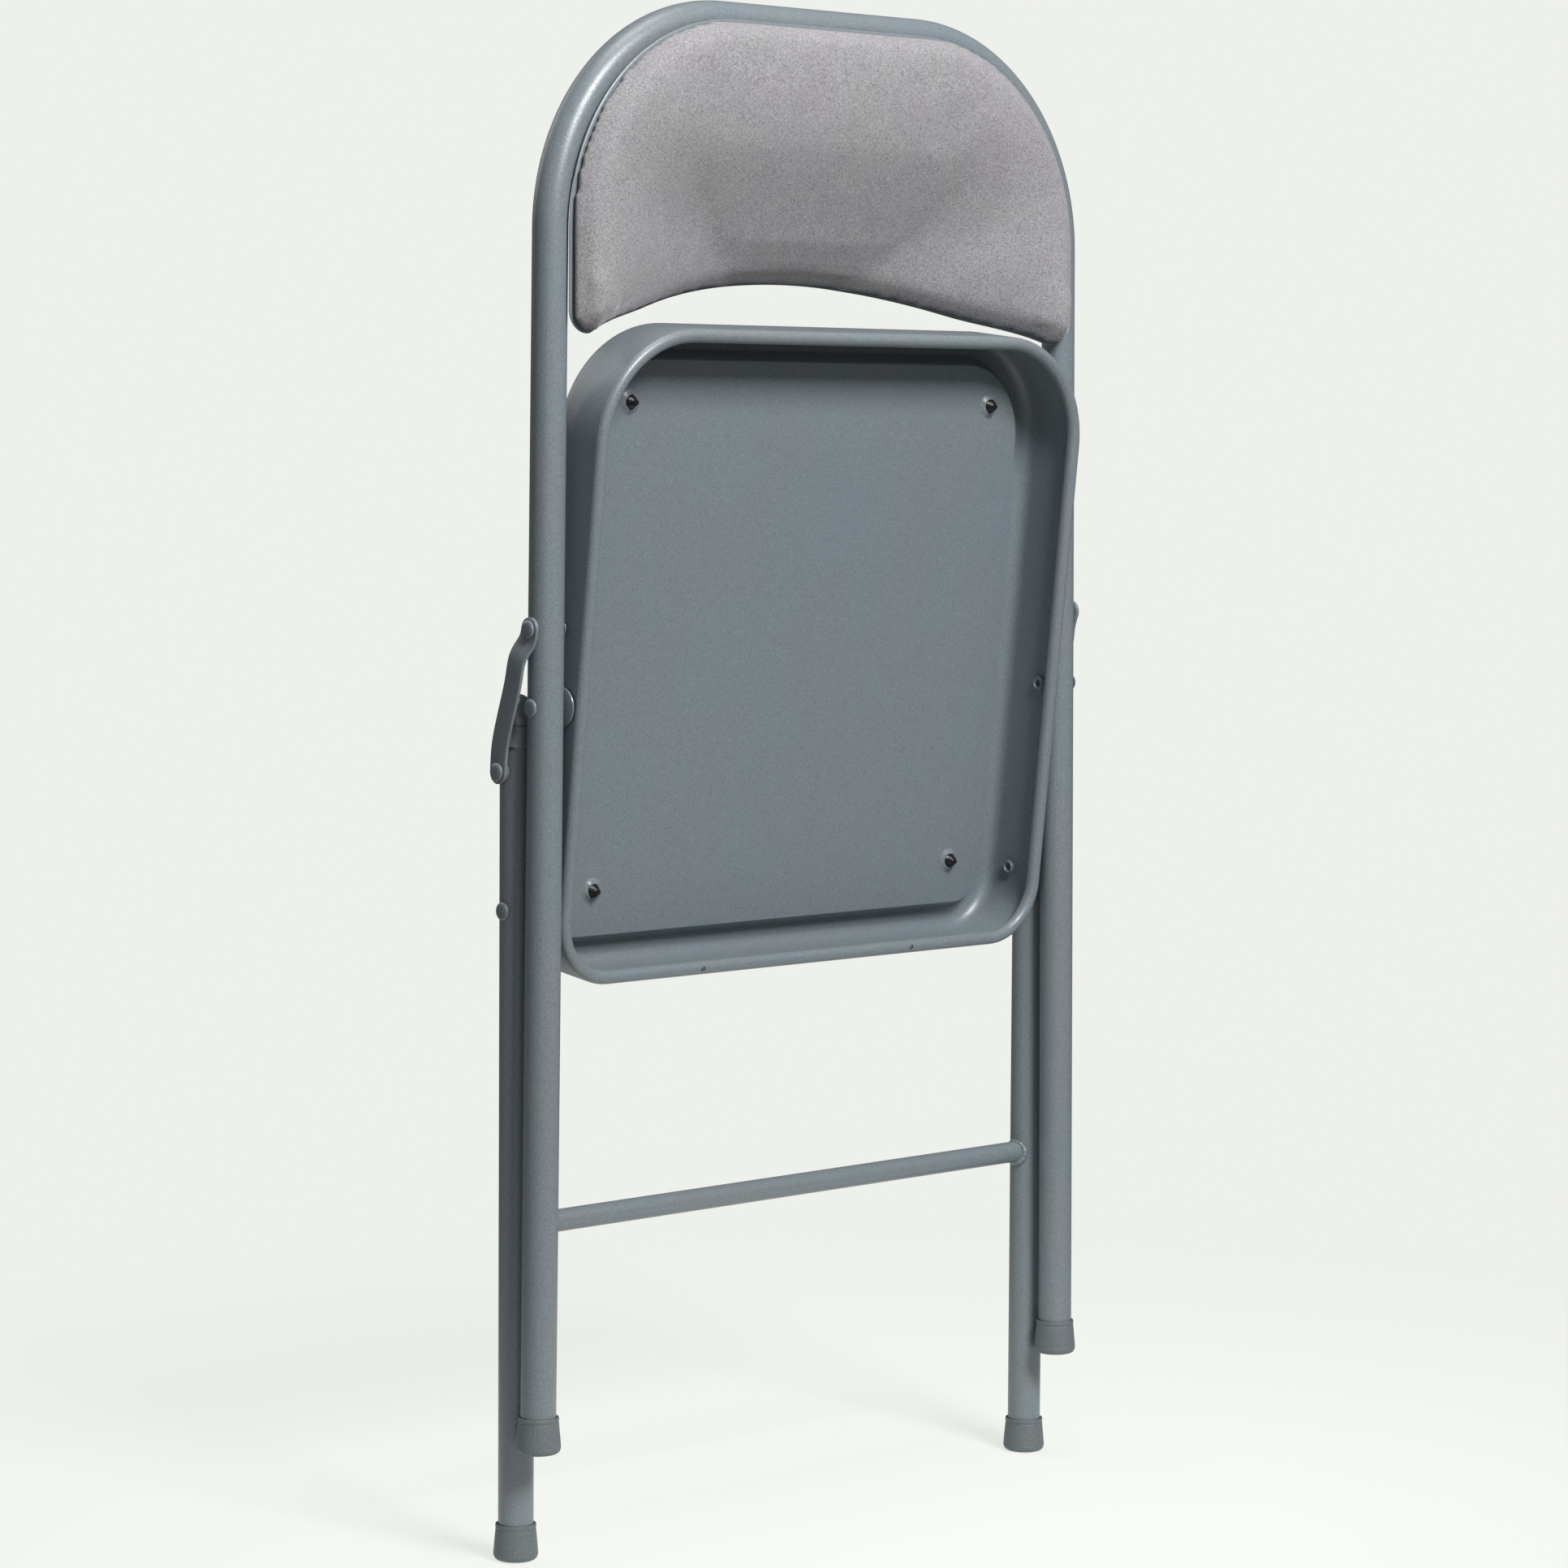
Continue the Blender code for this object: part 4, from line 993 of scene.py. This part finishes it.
def fasteners(side, sign):
    seat_x = front_half(SEAT_PIVOT.z)
    front_wall = wall_half(0.0)
    rear_wall = wall_half(LEG_PIVOT_OUT)
    pivot_rivet(f"pivot_front_{side}", f"seat_rivet_{side}", seat_x + TUBE_R, front_wall, 0.0010, sign,
                SEAT_PIVOT, "front_frame")
    pivot_rivet(f"pivot_rear_{side}", f"leg_rivet_{side}", REAR_HALF + TUBE_R, rear_wall, 0.0012, sign,
                LEG_PIVOT, "rear_frame")
    spacer(f"cup_front_{side}", f"seat_spacer_{side}", seat_x - TUBE_R, front_wall, 0.0118, sign,
           SEAT_PIVOT, "front_frame")
    spacer(f"cup_rear_{side}", f"leg_spacer_{side}", REAR_HALF - TUBE_R, rear_wall, 0.0092, sign,
           LEG_PIVOT, "rear_frame")

    link_x = front_half(LINK_TOP.z)
    strap_out = link_x + TUBE_R + STRAP_GAP + STRAP_T
    height = 0.0018
    top = strap_out + GAP + height
    through = top - (link_x - TUBE_R - GAP)
    profile = head_profile(height) + [(RIVET_R, height), (RIVET_R, through), (0.0044, through)]
    profile += [(0.0046, through + 0.0004), (0.0040, through + 0.0010), (0.00002, through + 0.0012)]
    fastener(f"strap_rivet_top_{side}", profile, top, sign, FRONT_Y, LINK_TOP.z, "front_frame",
             "powder_coat", f"link_top_rivet_{side}")

    lower_out = strap_out + STRAP_JOGGLE
    profile = head_profile(height) + [(RIVET_R, height), (RIVET_R, height + GAP + STRAP_T)]
    profile += [(0.00002, height + GAP + STRAP_T)]
    fastener(f"strap_rivet_bottom_{side}", profile, lower_out + GAP + height, sign, REAR_Y, LINK_BOTTOM_Z,
             f"link_{side}", "powder_coat", f"link_bottom_rivet_{side}")

    start = lower_out - STRAP_T - GAP
    reach = start - (REAR_HALF + TUBE_R + GAP)
    bore = RIVET_R + GAP
    profile = [(bore, 0.0), (0.0058, 0.0), (0.0060, 0.0003), (0.0060, reach - 0.0003), (0.0058, reach)]
    profile += [(bore, reach)]
    fastener(f"strap_washer_{side}", profile, start, sign, REAR_Y, LINK_BOTTOM_Z, "rear_frame", "nylon",
             f"link_washer_{side}", closed=True)


# --- studio -----------------------------------------------------------------------------------
PALE = (0.855, 0.871, 0.831)


def studio():
    scene = bpy.context.scene
    scene.view_settings.view_transform = "Standard"
    world = bpy.data.worlds.new("studio")
    world.use_nodes = True
    tree = world.node_tree
    tree.nodes.clear()
    output = tree.nodes.new("ShaderNodeOutputWorld")
    seen = tree.nodes.new("ShaderNodeBackground")
    seen.inputs["Color"].default_value = (*PALE, 1)
    lit = tree.nodes.new("ShaderNodeBackground")
    lit.inputs["Color"].default_value = (0.93, 0.97, 1.0, 1)
    lit.inputs["Strength"].default_value = 0.12
    path = tree.nodes.new("ShaderNodeLightPath")
    mix = tree.nodes.new("ShaderNodeMixShader")
    tree.links.new(path.outputs["Is Camera Ray"], mix.inputs["Fac"])
    tree.links.new(lit.outputs[0], mix.inputs[1])
    tree.links.new(seen.outputs[0], mix.inputs[2])
    tree.links.new(mix.outputs[0], output.inputs["Surface"])
    scene.world = world

    middle = Vector((0, 0, 0.5))
    softbox("key", middle, 6, 40, 2.6, 0.8, 84)
    softbox("top", middle, 10, 82, 2.4, 1.0, 20)
    softbox("low_fill", middle, 40, 6, 3.4, 1.6, 6)
    softbox("back_fill", middle, 165, 30, 3.0, 1.8, 18)


def softbox(name, target, left_of_front, elevation, distance, size, power):
    """A square light facing target, by its angle left of the chair's front and above the floor."""
    a, e = math.radians(left_of_front), math.radians(elevation)
    way = Vector((-math.sin(a) * math.cos(e), -math.cos(a) * math.cos(e), math.sin(e)))
    data = bpy.data.lights.new(name, "AREA")
    data.shape = "SQUARE"
    data.size = size
    data.energy = power
    light = bpy.data.objects.new(name, data)
    light.location = target + way * distance
    light.rotation_mode = "QUATERNION"
    light.rotation_quaternion = way.to_track_quat("Z", "Y")
    bpy.context.scene.collection.objects.link(light)


def floor():
    """A pale disc that fades out into the background."""
    count = 96
    turns = [2 * math.pi * i / count for i in range(count)]
    radii = (0.3, 1.0, 2.2)
    rings = [[Vector((r * math.cos(a), r * math.sin(a), 0)) for a in turns] for r in radii]
    verts = [p for ring in rings for p in ring]
    faces = [tuple(range(count))]
    for k in range(len(radii) - 1):
        for i in range(count):
            j = (i + 1) % count
            faces.append((k * count + i, k * count + j, (k + 1) * count + j, (k + 1) * count + i))
    mesh = bpy.data.meshes.new("floor")
    mesh.from_pydata([tuple(v) for v in verts], [], faces)
    disc = bpy.data.objects.new("floor", mesh)
    disc.location.z = -0.0002
    bpy.context.scene.collection.objects.link(disc)
    m = Nodes("floor")
    m.shader.inputs["Base Color"].default_value = (*scaled(PALE, 0.22), 1)
    m.shader.inputs["Emission Color"].default_value = (*PALE, 1)
    m.shader.inputs["Emission Strength"].default_value = 0.84
    m.shader.inputs["Specular IOR Level"].default_value = 0.0
    m.shader.inputs["Roughness"].default_value = 0.9
    distance = m.add("ShaderNodeVectorMath", operation="LENGTH")
    m.link(m.place, distance.inputs[0])
    m.set("Alpha", m.spread(distance.outputs["Value"], 1.0, 0.0, 0.30, 0.95))
    mesh.materials.append(m.material)


CAMERA_PLACE = Vector((-1.8511, -2.0206, 0.6794))
CAMERA_YAW, CAMERA_PITCH, CAMERA_ROLL = 42.291, 3.301, -0.347
CAMERA_LENS = 100.54
CAMERA_SHIFT_Y = -0.0647


def camera():
    yaw, pitch = math.radians(CAMERA_YAW), math.radians(CAMERA_PITCH)
    ahead = Vector((math.sin(yaw) * math.cos(pitch), math.cos(yaw) * math.cos(pitch), -math.sin(pitch)))
    right = Vector((math.cos(yaw), -math.sin(yaw), 0))
    down = ahead.cross(right)
    roll = math.radians(CAMERA_ROLL)
    across = right * math.cos(roll) + down * math.sin(roll)
    below = down * math.cos(roll) - right * math.sin(roll)
    data = bpy.data.cameras.new("camera")
    data.sensor_width = 36
    data.lens = CAMERA_LENS
    data.shift_y = CAMERA_SHIFT_Y
    data.clip_start, data.clip_end = 0.05, 50
    obj = bpy.data.objects.new("camera", data)
    turn = Matrix((across, -below, -ahead)).transposed().to_4x4()
    obj.matrix_world = Matrix.Translation(CAMERA_PLACE) @ turn
    bpy.context.scene.collection.objects.link(obj)
    bpy.context.scene.camera = obj


# --- assembly ---------------------------------------------------------------------------------
def main():
    camera()
    studio()
    floor()
    front_tube()
    back_panel()
    back_pad()
    for number, (x, z) in enumerate(BACK_SCREWS, 1):
        back_screw(number, x, z)
    seat_shell()
    seat_pad()
    for number, (x, along) in enumerate(SCREW_PLACES, 1):
        pan_burr(number, x, along)
        seat_screw(number, x, along)
    crossbar()
    for side, sign in SIDES.items():
        foot("front", side)
        foot("rear", side)
        rear_leg(side, sign)
        rear_cap(side, sign)
        strap(side, sign)
        fasteners(side, sign)
    for node in ("backrest_board", "seat_board"):
        board = frame["nodes"][node]
        board.data.materials.clear()
        board.data.materials.append(MATERIALS["hardboard"])


main()
